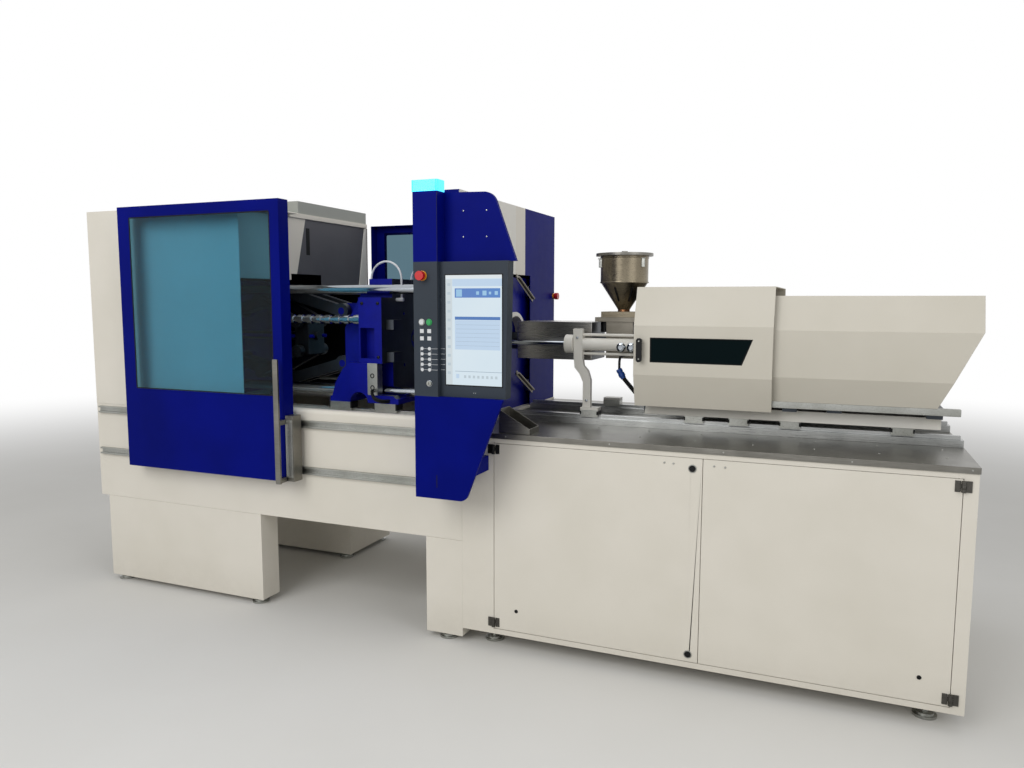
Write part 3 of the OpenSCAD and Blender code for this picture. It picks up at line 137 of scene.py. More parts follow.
def near(value: float, marks: Iterable[float], reach: float) -> bool:
    """Tells whether a value lies within reach of one of the marks."""
    return any(abs(value - mark) < reach for mark in marks)


# Workshop: each function makes or changes one piece as by hand

SHARP_ANGLE = 35.0
SMOOTH_ANGLE = 32.0
LARGE_FACES_FIRST = 50
WELD_MM = 0.01
SHELL_WELD_MM = 0.02
SIZE_KEPT_MM = 0.1
PIPE_BEND = 3.0
PIPE_ROUNDNESS = 5
BEND_ROOM = 0.48


def pick(*pieces: Piece) -> None:
    """Selects these pieces alone and makes the first one active.

    Args:
        *pieces: The pieces.
    """
    bpy.ops.object.select_all(action="DESELECT")
    for piece in pieces:
        piece.select_set(True)
    bpy.context.view_layer.objects.active = pieces[0]


def placed(name: str, data: bpy.types.ID) -> Piece:
    """Puts a mesh, a curve, a lamp or a camera into the scene.

    Args:
        name: Name of the object.
        data: What it shows.

    Returns:
        The object.
    """
    piece = bpy.data.objects.new(name, data)
    bpy.context.scene.collection.objects.link(piece)
    return piece


@contextmanager
def opened(piece: Piece) -> Iterator[None]:
    """Opens a piece's mesh with all of it selected, and closes it after the work.

    Args:
        piece: The piece.
    """
    pick(piece)
    bpy.ops.object.mode_set(mode="EDIT")
    bpy.ops.mesh.select_all(action="SELECT")
    yield
    bpy.ops.object.mode_set(mode="OBJECT")


def face_outward() -> None:
    """Turns every face of the opened mesh to the outside."""
    bpy.ops.mesh.select_all(action="SELECT")
    bpy.ops.mesh.normals_make_consistent(inside=False)


def named(piece: Piece, name: str) -> Piece:
    """Gives a piece and its mesh one name.

    Args:
        piece: The piece.
        name: The name.

    Returns:
        The piece.
    """
    piece.name = name
    piece.data.name = name
    return piece


def bevelled(piece: Piece, edge: float, steps: int = 2, clamp: bool = True) -> None:
    """Rounds a piece's sharp edges with a bevel that is applied.

    Args:
        piece: The piece.
        edge: Width of the bevel in millimetres.
        steps: Segments across the bevel.
        clamp: Whether the width is held back where edges would meet.
    """
    bevel = piece.modifiers.new("rounded_edges", "BEVEL")
    bevel.width = edge * MM
    bevel.segments = steps
    bevel.limit_method = "ANGLE"
    bevel.angle_limit = math.radians(SHARP_ANGLE)
    bevel.use_clamp_overlap = clamp
    bevel.harden_normals = False
    pick(piece)
    bpy.ops.object.modifier_apply(modifier=bevel.name)


def smooth(piece: Piece, angle: float = SMOOTH_ANGLE) -> None:
    """Shades a piece smooth and keeps its large faces flat.

    Args:
        piece: The piece.
        angle: Faces that meet below this many degrees are shaded as one.
    """
    pick(piece)
    bpy.ops.object.shade_smooth_by_angle(angle=math.radians(angle))
    even = piece.modifiers.new("even_faces", "WEIGHTED_NORMAL")
    even.keep_sharp = True
    even.weight = LARGE_FACES_FIRST
    bpy.ops.object.modifier_apply(modifier=even.name)


def settled(name: str, edge: float, steps: int = 2) -> Piece:
    """Names the newly added primitive, puts its place into its mesh and rounds its edges.

    Args:
        name: Its name.
        edge: Width of the bevel in millimetres.
        steps: Segments across the bevel.

    Returns:
        The piece.
    """
    piece = bpy.context.active_object
    pick(piece)
    bpy.ops.object.transform_apply(location=True, rotation=True, scale=True)
    bevelled(named(piece, name), edge, steps)
    return piece


def block(name: str, x: Span, y: Span, z: Span, edge: float = 1.0, steps: int = 2) -> Piece:
    """Makes a block with rounded edges.

    Args:
        name: Name of the piece.
        x: Its ends along the machine.
        y: Its front and rear.
        z: Its bottom and top.
        edge: Width of the bevel in millimetres.
        steps: Segments across the bevel.

    Returns:
        The piece.
    """
    low, high = at(x[0], y[0], z[0]), at(x[1], y[1], z[1])
    bpy.ops.object.select_all(action="DESELECT")
    bpy.ops.mesh.primitive_cube_add(size=1.0, location=(low + high) / 2)
    bpy.context.active_object.scale = high - low
    return settled(name, edge, steps)


def bar(name: str, start: Point, end: Point, across: float, edge: float = 0.6, sides: int = 32) -> Piece:
    """Makes a round bar with broken rims.

    Args:
        name: Name of the piece.
        start: Middle of its first end.
        end: Middle of its other end.
        across: Diameter in millimetres.
        edge: Width of the bevel on its rims.
        sides: Faces around it.

    Returns:
        The piece.
    """
    first, last = at(*start), at(*end)
    bpy.ops.object.select_all(action="DESELECT")
    bpy.ops.mesh.primitive_cylinder_add(
        vertices=sides, radius=across * MM / 2, depth=(last - first).length, location=(first + last) / 2,
        rotation=(last - first).to_track_quat("Z", "Y").to_euler())
    return settled(name, edge)


def drawn(name: str, points: Sequence[Vector], closed: bool) -> Piece:
    """Makes a mesh of a drawn line or a drawn outline.

    Args:
        name: Name of the piece.
        points: The line's points in the frame.
        closed: True for a closed outline with one face, False for an open line.

    Returns:
        The piece.
    """
    mesh = bpy.data.meshes.new(name)
    edges = [] if closed else [(i, i + 1) for i in range(len(points) - 1)]
    mesh.from_pydata([tuple(p) for p in points], edges, [tuple(range(len(points)))] if closed else [])
    return placed(name, mesh)


def turned(name: str, centre: Point, axis: Point, profile: Sequence[Span], sides: int = 40) -> Piece:
    """Turns a closed profile round an axis.

    Args:
        name: Name of the piece.
        centre: Point on the axis from which the profile is measured.
        axis: Direction of the axis.
        profile: Pairs of radius and distance along the axis, in millimetres.
        sides: Steps around the axis.

    Returns:
        The piece.
    """
    along = Vector(axis).normalized()
    across = along.orthogonal().normalized()
    middle = at(*centre)
    piece = drawn(name, [middle + across * r * MM + along * a * MM for r, a in profile], False)
    with opened(piece):
        bpy.ops.mesh.spin(steps=sides, angle=2 * math.pi, center=middle, axis=along)
        bpy.ops.mesh.select_all(action="SELECT")
        bpy.ops.mesh.remove_doubles(threshold=WELD_MM * MM)
        face_outward()
    return piece


def raised(name: str, outline: Sequence[Point], reach: Point, edge: float = 0.0) -> Piece:
    """Raises a drawn outline to a plate of even thickness.

    Args:
        name: Name of the piece.
        outline: Corners of the outline, which lie in one plane.
        reach: Direction and depth of the extrusion in millimetres.
        edge: Width of the bevel in millimetres, or 0 for none.

    Returns:
        The piece.
    """
    piece = drawn(name, [at(*p) for p in outline], True)
    with opened(piece):
        bpy.ops.mesh.extrude_region_move(TRANSFORM_OT_translate={"value": Vector(reach) * MM})
        face_outward()
    if edge > 0:
        bevelled(piece, edge)
    return piece


def border(name: str, x: Span, z: Span, y: float, width: float, depth: float) -> Piece:
    """Makes a flat frame round an opening in a front wall.

    Args:
        name: Name of the piece.
        x: Outer ends.
        z: Outer bottom and top.
        y: Its front face.
        width: Width of the frame in millimetres.
        depth: Thickness to the rear.

    Returns:
        The piece.
    """
    piece = drawn(name, [at(x[0], y, z[0]), at(x[1], y, z[0]), at(x[1], y, z[1]), at(x[0], y, z[1])], True)
    with opened(piece):
        bpy.ops.mesh.inset(thickness=width * MM, depth=0.0)
        bpy.ops.mesh.delete(type="FACE")
        bpy.ops.mesh.select_all(action="SELECT")
        bpy.ops.mesh.extrude_region_move(TRANSFORM_OT_translate={"value": Vector(REAR) * depth * MM})
        face_outward()
    bevelled(piece, min(width, depth) * 0.25)
    return piece


def joined(name: str, pieces: Iterable[Piece]) -> Piece:
    """Joins several solids to one piece.

    Args:
        name: Name of the joined piece.
        pieces: The solids.

    Returns:
        The piece.
    """
    parts = list(pieces)
    pick(*parts)
    if len(parts) > 1:
        bpy.ops.object.join()
    return named(bpy.context.active_object, name)


def repeated(name: str, pattern: Piece, shifts: Iterable[Vector]) -> Piece:
    """Copies a small solid to several places and joins the copies.

    Args:
        name: Name of the joined piece.
        pattern: The solid at its first place, which is used up.
        shifts: Moves from the first place, in millimetres.

    Returns:
        The piece.
    """
    copies = []
    for shift in shifts:
        copies.append(placed(pattern.name, pattern.data.copy()))
        copies[-1].data.transform(Matrix.Translation(shift * MM))
    bpy.data.objects.remove(pattern)
    return joined(name, copies)


def pipe(name: str, points: Sequence[Point], across: float) -> Piece:
    """Draws a pipe of straight runs with round bends between them.

    Args:
        name: Name of the piece.
        points: Its ends and the corners between its runs.
        across: Diameter in millimetres.

    Returns:
        The piece, as a mesh.
    """
    places = [Vector(p) for p in points]
    knots = [places[0]]
    for before, corner, after in zip(places, places[1:], places[2:]):
        back, on = before - corner, after - corner
        turn = min(PIPE_BEND * across, back.length * BEND_ROOM, on.length * BEND_ROOM)
        first, last = corner + back.normalized() * turn, corner + on.normalized() * turn
        for t in (0.0, 0.25, 0.5, 0.75, 1.0):
            knots.append(first * (1 - t) ** 2 + corner * 2 * t * (1 - t) + last * t ** 2)
    knots.append(places[-1])
    line = bpy.data.curves.new(name, "CURVE")
    line.dimensions = "3D"
    line.bevel_depth = across * MM / 2
    line.bevel_resolution = PIPE_ROUNDNESS
    line.use_fill_caps = True
    spline = line.splines.new("POLY")
    spline.points.add(len(knots) - 1)
    for knot, place in zip(spline.points, knots):
        knot.co = (*at(*place), 1.0)
    pick(placed(name, line))
    bpy.ops.object.convert(target="MESH")
    return bpy.context.active_object


@dataclass(frozen=True)
class Head:
    """Size of a screw head or plug: its diameter and how far it stands out, in millimetres."""

    across: float
    height: float


@dataclass(frozen=True)
class Rim:
    """Size of a flat ring: its two radii and how far it stands out, in millimetres."""

    inner: float
    outer: float
    height: float


def screw_head(name: str, place: Point, axis: Point, head: Head) -> Piece:
    """Turns a domed screw head with a sunk socket.

    Args:
        name: Name of the piece.
        place: Middle of its seat.
        axis: Direction in which it stands out.
        head: Its size.

    Returns:
        The piece.
    """
    r, top = head.across / 2, head.height
    return turned(name, place, axis, [
        (0, -0.5), (r, -0.5), (r, top * 0.45), (r * 0.86, top * 0.85), (r * 0.55, top), (r * 0.42, top),
        (r * 0.40, top * 0.35), (0, top * 0.35)], 14)


def ring(name: str, centre: Point, rim: Rim, axis: Point = FRONT) -> Piece:
    """Turns a flat ring with a rounded outer rim.

    Args:
        name: Name of the piece.
        centre: Middle of its seat.
        rim: Its size.
        axis: Direction in which it stands out.

    Returns:
        The piece.
    """
    edge = min(rim.height, rim.outer - rim.inner) * 0.3
    low, slope = rim.height - edge, edge * 0.3
    return turned(name, centre, axis, [
        (rim.inner, 0), (rim.outer, 0), (rim.outer, low), (rim.outer - slope, rim.height - slope),
        (rim.outer - edge, rim.height), (rim.inner + edge, rim.height), (rim.inner, low), (rim.inner, 0)], 36)


def cut_at(piece: Piece, place: Point, normal: Point) -> None:
    """Cuts a piece's faces along a plane, so that each side can take its own finish.

    Args:
        piece: The piece.
        place: Point on the plane in millimetres.
        normal: Direction of the plane.
    """
    pick(piece)
    bpy.ops.mesh.customdata_custom_splitnormals_clear()
    with opened(piece):
        bpy.ops.mesh.bisect(plane_co=at(*place), plane_no=Vector(normal))
    smooth(piece)


def merged_copy(node: str, name: str) -> Piece:
    """Copies a construction node and merges its loose triangles to a clean shell.

    Args:
        node: Name of the node.
        name: Name of the copy.

    Returns:
        The copy, which rides on nothing yet.
    """
    mesh = frame["nodes"][node].data.copy()
    mesh.name = name
    piece = placed(name, mesh)
    pick(piece)
    if mesh.has_custom_normals:
        bpy.ops.mesh.customdata_custom_splitnormals_clear()
    with opened(piece):
        bpy.ops.mesh.remove_doubles(threshold=SHELL_WELD_MM * MM)
    return piece


def reach_of(piece: Piece) -> tuple[Vector, Vector]:
    """Gives the lowest and highest corner of a piece's mesh."""
    xs, ys, zs = zip(*(v.co for v in piece.data.vertices))
    return Vector((min(xs), min(ys), min(zs))), Vector((max(xs), max(ys), max(zs)))


def dressed(node: str, edge: float, fold: float) -> Piece:
    """Makes the piece that shows a construction node with rounded edges.

    Args:
        node: Name of the node, which the piece stands for.
        edge: Width of the bevel in millimetres, or 0 for none.
        fold: Faces that meet below this many degrees are shaded as one.

    Returns:
        The piece.
    """
    piece = merged_copy(node, "dressed_" + node)
    if edge > 0:
        plain, corners = piece.data.copy(), reach_of(piece)
        bevelled(piece, edge, clamp=False)
        if any((old - new).length > SIZE_KEPT_MM * MM for old, new in zip(corners, reach_of(piece))):
            piece.data = plain
            bevelled(piece, edge)
            LOG.info("%s keeps a held back bevel", node)
    smooth(piece, fold)
    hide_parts(node)
    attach(piece, frame["nodes"][node]["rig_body"])
    return piece


def front_of(node: str, x: float, z: float) -> float:
    """Finds a node's surface as seen straight from the front.

    Args:
        node: Name of the node.
        x: Place along the machine in millimetres.
        z: Place above the floor.

    Returns:
        The y of the surface in millimetres.
    """
    start = -500.0
    mesh = frame["nodes"][node].data
    tree = BVHTree.FromPolygons([v.co for v in mesh.vertices], [tuple(f.vertices) for f in mesh.polygons])
    return start + tree.ray_cast(at(x, start, z), Vector(REAR))[3] / MM


# Finishes

# Units after which a wave pattern repeats
WAVE_TURN = 6.28


def put(tree: Tree, kind: str, sockets: Sockets | None = None, **settings: Any) -> bpy.types.Node:
    """Adds a node with its settings and links.

    Args:
        tree: The node tree.
        kind: Type name of the node.
        sockets: Input names or numbers with a value, or with the output socket to link.
        **settings: Attributes of the node.

    Returns:
        The node.
    """
    made = tree.nodes.new(kind)
    for key, value in settings.items():
        setattr(made, key, value)
    for key, value in (sockets or {}).items():
        if isinstance(value, Socket):
            tree.links.new(value, made.inputs[key])
        else:
            made.inputs[key].default_value = value
    return made


def bench(name: str) -> tuple[bpy.types.Material, Tree, Socket]:
    """Starts a material.

    Args:
        name: Name of the material.

    Returns:
        The material, its empty node tree and the Object coordinates' socket.
    """
    material = bpy.data.materials.new(name)
    material.use_nodes = True
    tree = material.node_tree
    tree.nodes.clear()
    return material, tree, put(tree, "ShaderNodeTexCoord").outputs["Object"]


@dataclass(frozen=True)
class Finish(ABC):
    """What every finish has: a colour, the shade that it varies to, and a way to build its material."""

    colour: str
    shade: str

    @abstractmethod
    def surface(self, tree: Tree, place: Socket) -> Sockets:
        """Draws the patterns of the surface.

        Args:
            tree: The node tree.
            place: The Object coordinates, on which every pattern lies.

        Returns:
            The inputs of the surface shader.
        """

    def build(self, name: str) -> bpy.types.Material:
        """Builds the material.

        Args:
            name: Name of the material.

        Returns:
            The material.
        """
        material, tree, place = bench(name)
        shader = put(tree, "ShaderNodeBsdfPrincipled", self.surface(tree, place))
        put(tree, "ShaderNodeOutputMaterial", {"Surface": shader.outputs["BSDF"]})
        return material


@dataclass(frozen=True)
class PowderCoat(Finish):
    """Powder coated sheet: an even colour with the faint orange peel of cured powder, and painted shade
    towards the floor.
    """

    roughness: float = 0.42
    peel_mm: float = 5.0
    peel_depth: float = 0.05
    # Painted shade: how far the colour darkens at the floor
    foot_shade: float = 0.25
    gloss: float = 0.35
    cloud_mm: float = 380.0
    scuff_mm: float = 45.0
    foot_shade_colour: str = "#8C8474"
    foot_shade_top_m: float = 0.22

    def surface(self, tree: Tree, place: Socket) -> Sockets:
        """Lays a painted shade over the clouded colour, most of it near the floor.

        Args:
            tree: The node tree.
            place: The Object coordinates.

        Returns:
            The inputs of the surface shader.
        """
        cloud = put(tree, "ShaderNodeTexNoise", {"Vector": place, "Scale": per(self.cloud_mm), "Detail": 4.0})
        lift = put(tree, "ShaderNodeMapRange", {
            "Value": cloud.outputs["Fac"], "From Min": 0.35, "From Max": 0.7})
        base = put(tree, "ShaderNodeMix", {
            0: lift.outputs[0], 6: linear(self.colour), 7: linear(self.shade)}, data_type="RGBA")
        # Painted shade: the colour darkens towards the floor, in a brownish grey broken by the scuff noise
        height = put(tree, "ShaderNodeSeparateXYZ", {"Vector": place})
        low = put(tree, "ShaderNodeMapRange", {
            "Value": height.outputs["Z"], "From Min": 0.0, "From Max": self.foot_shade_top_m, "To Min": self.foot_shade,
            "To Max": 0.0})
        scuff = put(tree, "ShaderNodeTexNoise", {
            "Vector": place, "Scale": per(self.scuff_mm), "Detail": 6.0, "Roughness": 0.7})
        foot_shading = put(tree, "ShaderNodeMath", {0: low.outputs[0], 1: scuff.outputs["Fac"]}, operation="MULTIPLY")
        foot_shaded = put(tree, "ShaderNodeMix", {
            0: foot_shading.outputs[0], 6: base.outputs[2], 7: linear(self.foot_shade_colour)}, data_type="RGBA")
        peel = put(tree, "ShaderNodeTexNoise", {"Vector": place, "Scale": per(self.peel_mm), "Detail": 2.0})
        dull = put(tree, "ShaderNodeMapRange", {
            "Value": scuff.outputs["Fac"], "To Min": self.roughness - 0.05, "To Max": self.roughness + 0.08})
        bump = put(tree, "ShaderNodeBump", {
            "Height": peel.outputs["Fac"], "Strength": self.peel_depth, "Distance": 0.002})
        return {"Base Color": foot_shaded.outputs[2], "Roughness": dull.outputs[0], "Normal": bump.outputs[0],
                "IOR": 1.5, "Specular IOR Level": self.gloss}


@dataclass(frozen=True)
class CastEnamel(Finish):
    """Machine enamel on cast iron: glossy colour over the soft waves and pits of the sand casting."""

    roughness: float = 0.34
    gloss: float = 0.4
    wave_mm: float = 60.0
    pit_mm: float = 7.0

    def surface(self, tree: Tree, place: Socket) -> Sockets:
        """Adds the pits to the waves.

        Args:
            tree: The node tree.
            place: The Object coordinates.

        Returns:
            The inputs of the surface shader.
        """
        wave = put(tree, "ShaderNodeTexNoise", {"Vector": place, "Scale": per(self.wave_mm), "Detail": 5.0})
        pit = put(tree, "ShaderNodeTexNoise", {"Vector": place, "Scale": per(self.pit_mm), "Detail": 3.0})
        base = put(tree, "ShaderNodeMix", {
            0: wave.outputs["Fac"], 6: linear(self.colour), 7: linear(self.shade)}, data_type="RGBA")
        both = put(tree, "ShaderNodeMath", {0: wave.outputs["Fac"], 1: pit.outputs["Fac"]}, operation="ADD")
        bump = put(tree, "ShaderNodeBump", {"Height": both.outputs[0], "Strength": 0.16, "Distance": 0.003})
        dull = put(tree, "ShaderNodeMapRange", {
            "Value": pit.outputs["Fac"], "To Min": self.roughness - 0.08, "To Max": self.roughness + 0.12})
        return {"Base Color": base.outputs[2], "Roughness": dull.outputs[0], "Normal": bump.outputs[0],
                "IOR": 1.52, "Specular IOR Level": self.gloss}


class Grain(Enum):
    """Direction of the fine lines on a metal, as the scale of their pattern."""

    ALONG = (0.02, 1.0, 1.0)
    UPRIGHT = (1.0, 1.0, 0.02)
    NONE = (1.0, 1.0, 1.0)


@dataclass(frozen=True)
class WorkedMetal(Finish):
    """Bare metal with the fine lines of its last machining, which stretch the highlights."""

    roughness: float
    spread: float
    grain: Grain
    line_mm: float = 2.0
    depth: float = 0.05
    stain_mm: float = 130.0

    def surface(self, tree: Tree, place: Socket) -> Sockets:
        """Draws out the lines and breaks them with faint stains.

        Args:
            tree: The node tree.
            place: The Object coordinates.

        Returns:
            The inputs of the surface shader.
        """
        drawn_out = put(tree, "ShaderNodeMapping", {"Vector": place, "Scale": self.grain.value})
        lines = put(tree, "ShaderNodeTexNoise", {
            "Vector": drawn_out.outputs[0], "Scale": per(self.line_mm), "Detail": 3.0, "Roughness": 0.6})
        stain = put(tree, "ShaderNodeTexNoise", {"Vector": place, "Scale": per(self.stain_mm), "Detail": 4.0})
        tone = put(tree, "ShaderNodeMath", {
            0: lines.outputs["Fac"], 1: stain.outputs["Fac"]}, operation="MULTIPLY")
        spread = put(tree, "ShaderNodeMapRange", {
            "Value": tone.outputs[0], "From Min": 0.12, "From Max": 0.4})
        base = put(tree, "ShaderNodeMix", {
            0: spread.outputs[0], 6: linear(self.shade), 7: linear(self.colour)}, data_type="RGBA")
        dull = put(tree, "ShaderNodeMapRange", {
            "Value": lines.outputs["Fac"], "From Min": 0.3, "From Max": 0.7, "To Min": self.roughness,
            "To Max": self.roughness + self.spread})
        bump = put(tree, "ShaderNodeBump", {
            "Height": lines.outputs["Fac"], "Strength": self.depth, "Distance": 0.001})
        return {"Base Color": base.outputs[2], "Metallic": 1.0, "Roughness": dull.outputs[0],
                "Normal": bump.outputs[0]}


@dataclass(frozen=True)
class Moulded(Finish):
    """Moulded plastic or rubber with the fine grain of its tool, which breaks the gloss."""

    roughness: float = 0.45
    grain_mm: float = 2.5
    depth: float = 0.08
    glow: float = 0.0
    gloss: float = 0.5
    cloud_mm: float = 90.0

    def surface(self, tree: Tree, place: Socket) -> Sockets:
        """Sinks the tool's grain into the clouded colour.

        Args:
            tree: The node tree.
            place: The Object coordinates.

        Returns:
            The inputs of the surface shader.
        """
        grain = put(tree, "ShaderNodeTexVoronoi", {"Vector": place, "Scale": per(self.grain_mm)})
        cloud = put(tree, "ShaderNodeTexNoise", {"Vector": place, "Scale": per(self.cloud_mm), "Detail": 3.0})
        base = put(tree, "ShaderNodeMix", {
            0: cloud.outputs["Fac"], 6: linear(self.colour), 7: linear(self.shade)}, data_type="RGBA")
        dull = put(tree, "ShaderNodeMapRange", {
            "Value": cloud.outputs["Fac"], "To Min": self.roughness - 0.06, "To Max": self.roughness + 0.06})
        bump = put(tree, "ShaderNodeBump", {
            "Height": grain.outputs["Distance"], "Strength": self.depth, "Distance": 0.0006})
        return {"Base Color": base.outputs[2], "Roughness": dull.outputs[0], "Normal": bump.outputs[0],
                "Emission Color": linear(self.colour), "Emission Strength": self.glow, "IOR": 1.49,
                "Specular IOR Level": self.gloss}


@dataclass(frozen=True)
class TintedSheet(Finish):
    """Tinted polycarbonate: a clear pane that takes colour, with faint wipe marks in its gloss."""

    clear: float
    roughness: float = 0.03
    gloss: float = 0.2
    glare: float = 1.0
    wipe_mm: float = 300.0
    wipe_turn: Point = (0.0, 0.5, 0.0)
    wipe_stretch: Point = (1.0, 1.0, 0.25)

    def surface(self, tree: Tree, place: Socket) -> Sockets:
        """Draws the wipe marks aslant.

        Args:
            tree: The node tree.
            place: The Object coordinates.

        Returns:
            The inputs of the surface shader.
        """
        slow = put(tree, "ShaderNodeMapping", {
            "Vector": place, "Rotation": self.wipe_turn, "Scale": self.wipe_stretch})
        haze = put(tree, "ShaderNodeTexNoise", {
            "Vector": slow.outputs[0], "Scale": per(self.wipe_mm), "Detail": 5.0})
        base = put(tree, "ShaderNodeMix", {
            0: haze.outputs["Fac"], 6: linear(self.colour), 7: linear(self.shade)}, data_type="RGBA")
        dull = put(tree, "ShaderNodeMapRange", {
            "Value": haze.outputs["Fac"], "To Min": self.roughness, "To Max": self.roughness + 0.05})
        return {"Base Color": base.outputs[2], "Roughness": dull.outputs[0],
                "Transmission Weight": self.clear, "IOR": 1.58, "Specular IOR Level": self.gloss,
                "Specular Tint": (self.glare, self.glare, self.glare, 1.0)}


@dataclass(frozen=True)
class DisplayField(Finish):
    """A lit field of the screen: even light broken by the fine rows of its picture points."""

    light: float
    # Picture points are 0.25 mm apart, and drawn 2 mm apart so that they show
    row_mm: float = 2.0
    row_weight: float = 0.25
    fall_mm: float = 240.0
    unlit: float = 0.02

    def surface(self, tree: Tree, place: Socket) -> Sockets:
        """Lays the rows over a slow fall of light.

        Args:
            tree: The node tree.
            place: The Object coordinates.

        Returns:
            The inputs of the surface shader.
        """
        rows = put(tree, "ShaderNodeTexWave", {
            "Vector": place, "Scale": per(self.row_mm) / WAVE_TURN, "Distortion": 0.0}, bands_direction="Z")
        fall = put(tree, "ShaderNodeTexNoise", {"Vector": place, "Scale": per(self.fall_mm)})
        mixed = put(tree, "ShaderNodeMath", {
            0: rows.outputs["Fac"], 1: self.row_weight, 2: fall.outputs["Fac"]}, operation="MULTIPLY_ADD")
        base = put(tree, "ShaderNodeMix", {
            0: mixed.outputs[0], 6: linear(self.colour), 7: linear(self.shade)}, data_type="RGBA")
        return {"Base Color": (self.unlit, self.unlit, self.unlit, 1.0), "Roughness": 0.12,
                "Emission Color": base.outputs[2], "Emission Strength": self.light, "IOR": 1.5}


class NamedFinish(Enum):
    """A finish by the name of its material slot, or by its own name."""

    @property
    def slot(self) -> str:
        """Gives the name of the material slot."""
        return self.value[0]

    @property
    def finish(self) -> Finish:
        """Gives the finish."""
        return self.value[1]


class Look(NamedFinish):
    """The finishes of the machine's pieces."""

    WHITE = ("white_paint", PowderCoat("#DAD5CA", "#D4CFC3"))
    BLUE = ("blue_paint", PowderCoat("#030E72", "#020B62", 0.42, 5.0, 0.05, 0.03, 0.04))
    PLATEN = ("platen_paint", CastEnamel("#08128E", "#060E70", 0.38, 0.12))
    BRUSHED = ("brushed_sheet", WorkedMetal("#8C8A84", "#706E68", 0.28, 0.14, Grain.ALONG))
    POLISHED = ("polished_sheet", WorkedMetal("#B2B0AC", "#A6A4A0", 0.26, 0.04, Grain.ALONG, 3.0, 0.006))
    CHROME = ("chromed_bar", WorkedMetal("#AEB3B8", "#989EA4", 0.08, 0.06, Grain.NONE, 3.0, 0.01))
    STEEL = ("machined_steel", WorkedMetal("#4C5056", "#3A3E43", 0.34, 0.14, Grain.UPRIGHT))
    RAIL = ("rail_steel", WorkedMetal("#B4B5B4", "#989A99", 0.24, 0.12, Grain.ALONG))
    PANEL = ("grey_panel", PowderCoat("#343B44", "#2F363E", 0.48, 3.0, 0.06, 0.0, 0.16))
    MOTOR = ("motor_black", CastEnamel("#1B1D20", "#121315", 0.45, 0.3))
    PANE = ("tinted_pane", TintedSheet("#68A5BF", "#5E9CB5", 1.0, 0.03, 0.04, 0.12))
    DARK_PANE = ("dark_pane", TintedSheet("#041417", "#030E10", 0.0, 0.1, 0.03))
    GLASS = ("display_glass", TintedSheet("#0C0E12", "#08090C", 0.0, 0.06))
    LENS = ("signal_lens", Moulded("#3FCCFF", "#22B2F8", 0.2, 6.0, 0.4, 1.5))
    CREAM = ("cream_paint", PowderCoat("#DFDDD6", "#D8D5CC"))
    GREY = ("grey_paint", PowderCoat("#9B9D96", "#91938D"))
    RED = ("red_plastic", Moulded("#C8161B", "#B01014", 0.3))
    PALE = ("pale_plastic", Moulded("#D4D6D8", "#C6C9CC", 0.35))
    GREEN = ("green_plastic", Moulded("#2FA35A", "#24904C", 0.3))
    BLACK = ("black_plastic", Moulded("#111214", "#0B0C0D", 0.42, 2.5, 0.06, 0.0, 0.22))
    ZINC = ("zinc_steel", WorkedMetal("#B2B3AF", "#94958F", 0.26, 0.18, Grain.NONE, 4.0))
    # Finishes that the record has no slot for
    RUBBER = ("black_rubber", Moulded("#101112", "#0A0B0C", 0.6, 3.0, 0.08, 0.0, 0.2))
    AMBER = ("amber_plastic", Moulded("#E39A1C", "#D58A14", 0.35))
    COPPER = ("brass_fitting", WorkedMetal("#B98660", "#8F5F40", 0.28, 0.15, Grain.NONE, 4.0))
    PLUG = ("blue_nylon", Moulded("#1B4A9C", "#163F88", 0.4))
    OLD_SHEET = ("rolled_sheet", WorkedMetal("#8D8472", "#6C6455", 0.24, 0.16, Grain.ALONG, 3.0))
    # Painted shade: a dark grey for the wall under the roof ledge, where the ledge's shadow falls
    SHADED_WALL = ("shaded_grey_sheet", PowderCoat("#55555A", "#4C4C51", 0.5, 5.0, 0.05, 0.0))
    # Painted shade: near black for the inner faces of the clamp end's cover and rear door, which lie in shade
    INNER_SHADE = ("painted_inner_shade", Moulded("#131417", "#0E0F12", 0.9, 9.0, 0.04, 0.0, 0.05))
    COVER = ("cover_paint", PowderCoat("#CAC5B9", "#C4BFB2"))
    REAR_PANE = ("rear_pane", TintedSheet("#607B87", "#56717D", 1.0, 0.03, 0.04, 0.12))
    HINGE = ("hinge_steel", WorkedMetal("#5E5C58", "#4A4844", 0.4, 0.15, Grain.NONE, 4.0))
    WARM_STEEL = ("warm_steel", WorkedMetal("#8F8A80", "#726D63", 0.36, 0.16, Grain.ALONG, 3.0))


class ScreenTint(NamedFinish):
    """The lit colours of the screen."""

    GROUND = ("screen_ground", DisplayField("#E4F1F8", "#D6E8F4", 0.86))
    HEADER = ("screen_header", DisplayField("#D9E2E8", "#EEF4F6", 0.86))
    MENU = ("screen_menu", DisplayField("#DCE6EA", "#CFDBE1", 0.84))
    BANNER = ("screen_banner", DisplayField("#3D8FD8", "#5C7CC8", 0.8))
    TILE = ("screen_tile", DisplayField("#A9D4F0", "#93C4EA", 0.84))
    BAR = ("screen_bar", DisplayField("#3E72BC", "#4A7EC4", 0.8))
    ROW = ("screen_row", DisplayField("#BCD4EE", "#C6DCF2", 0.86))
    LINE = ("screen_line", DisplayField("#A9BCCB", "#9DB2C4", 0.8))
    ICON = ("screen_icon", DisplayField("#B9CAD4", "#C6D4DC", 0.84))


SLOT_OF_NODE = {row["node"]: row["material_slot"] for row in frame["record"]["subparts"]}
LOOK_OF_SLOT = {look.slot: look for look in Look}


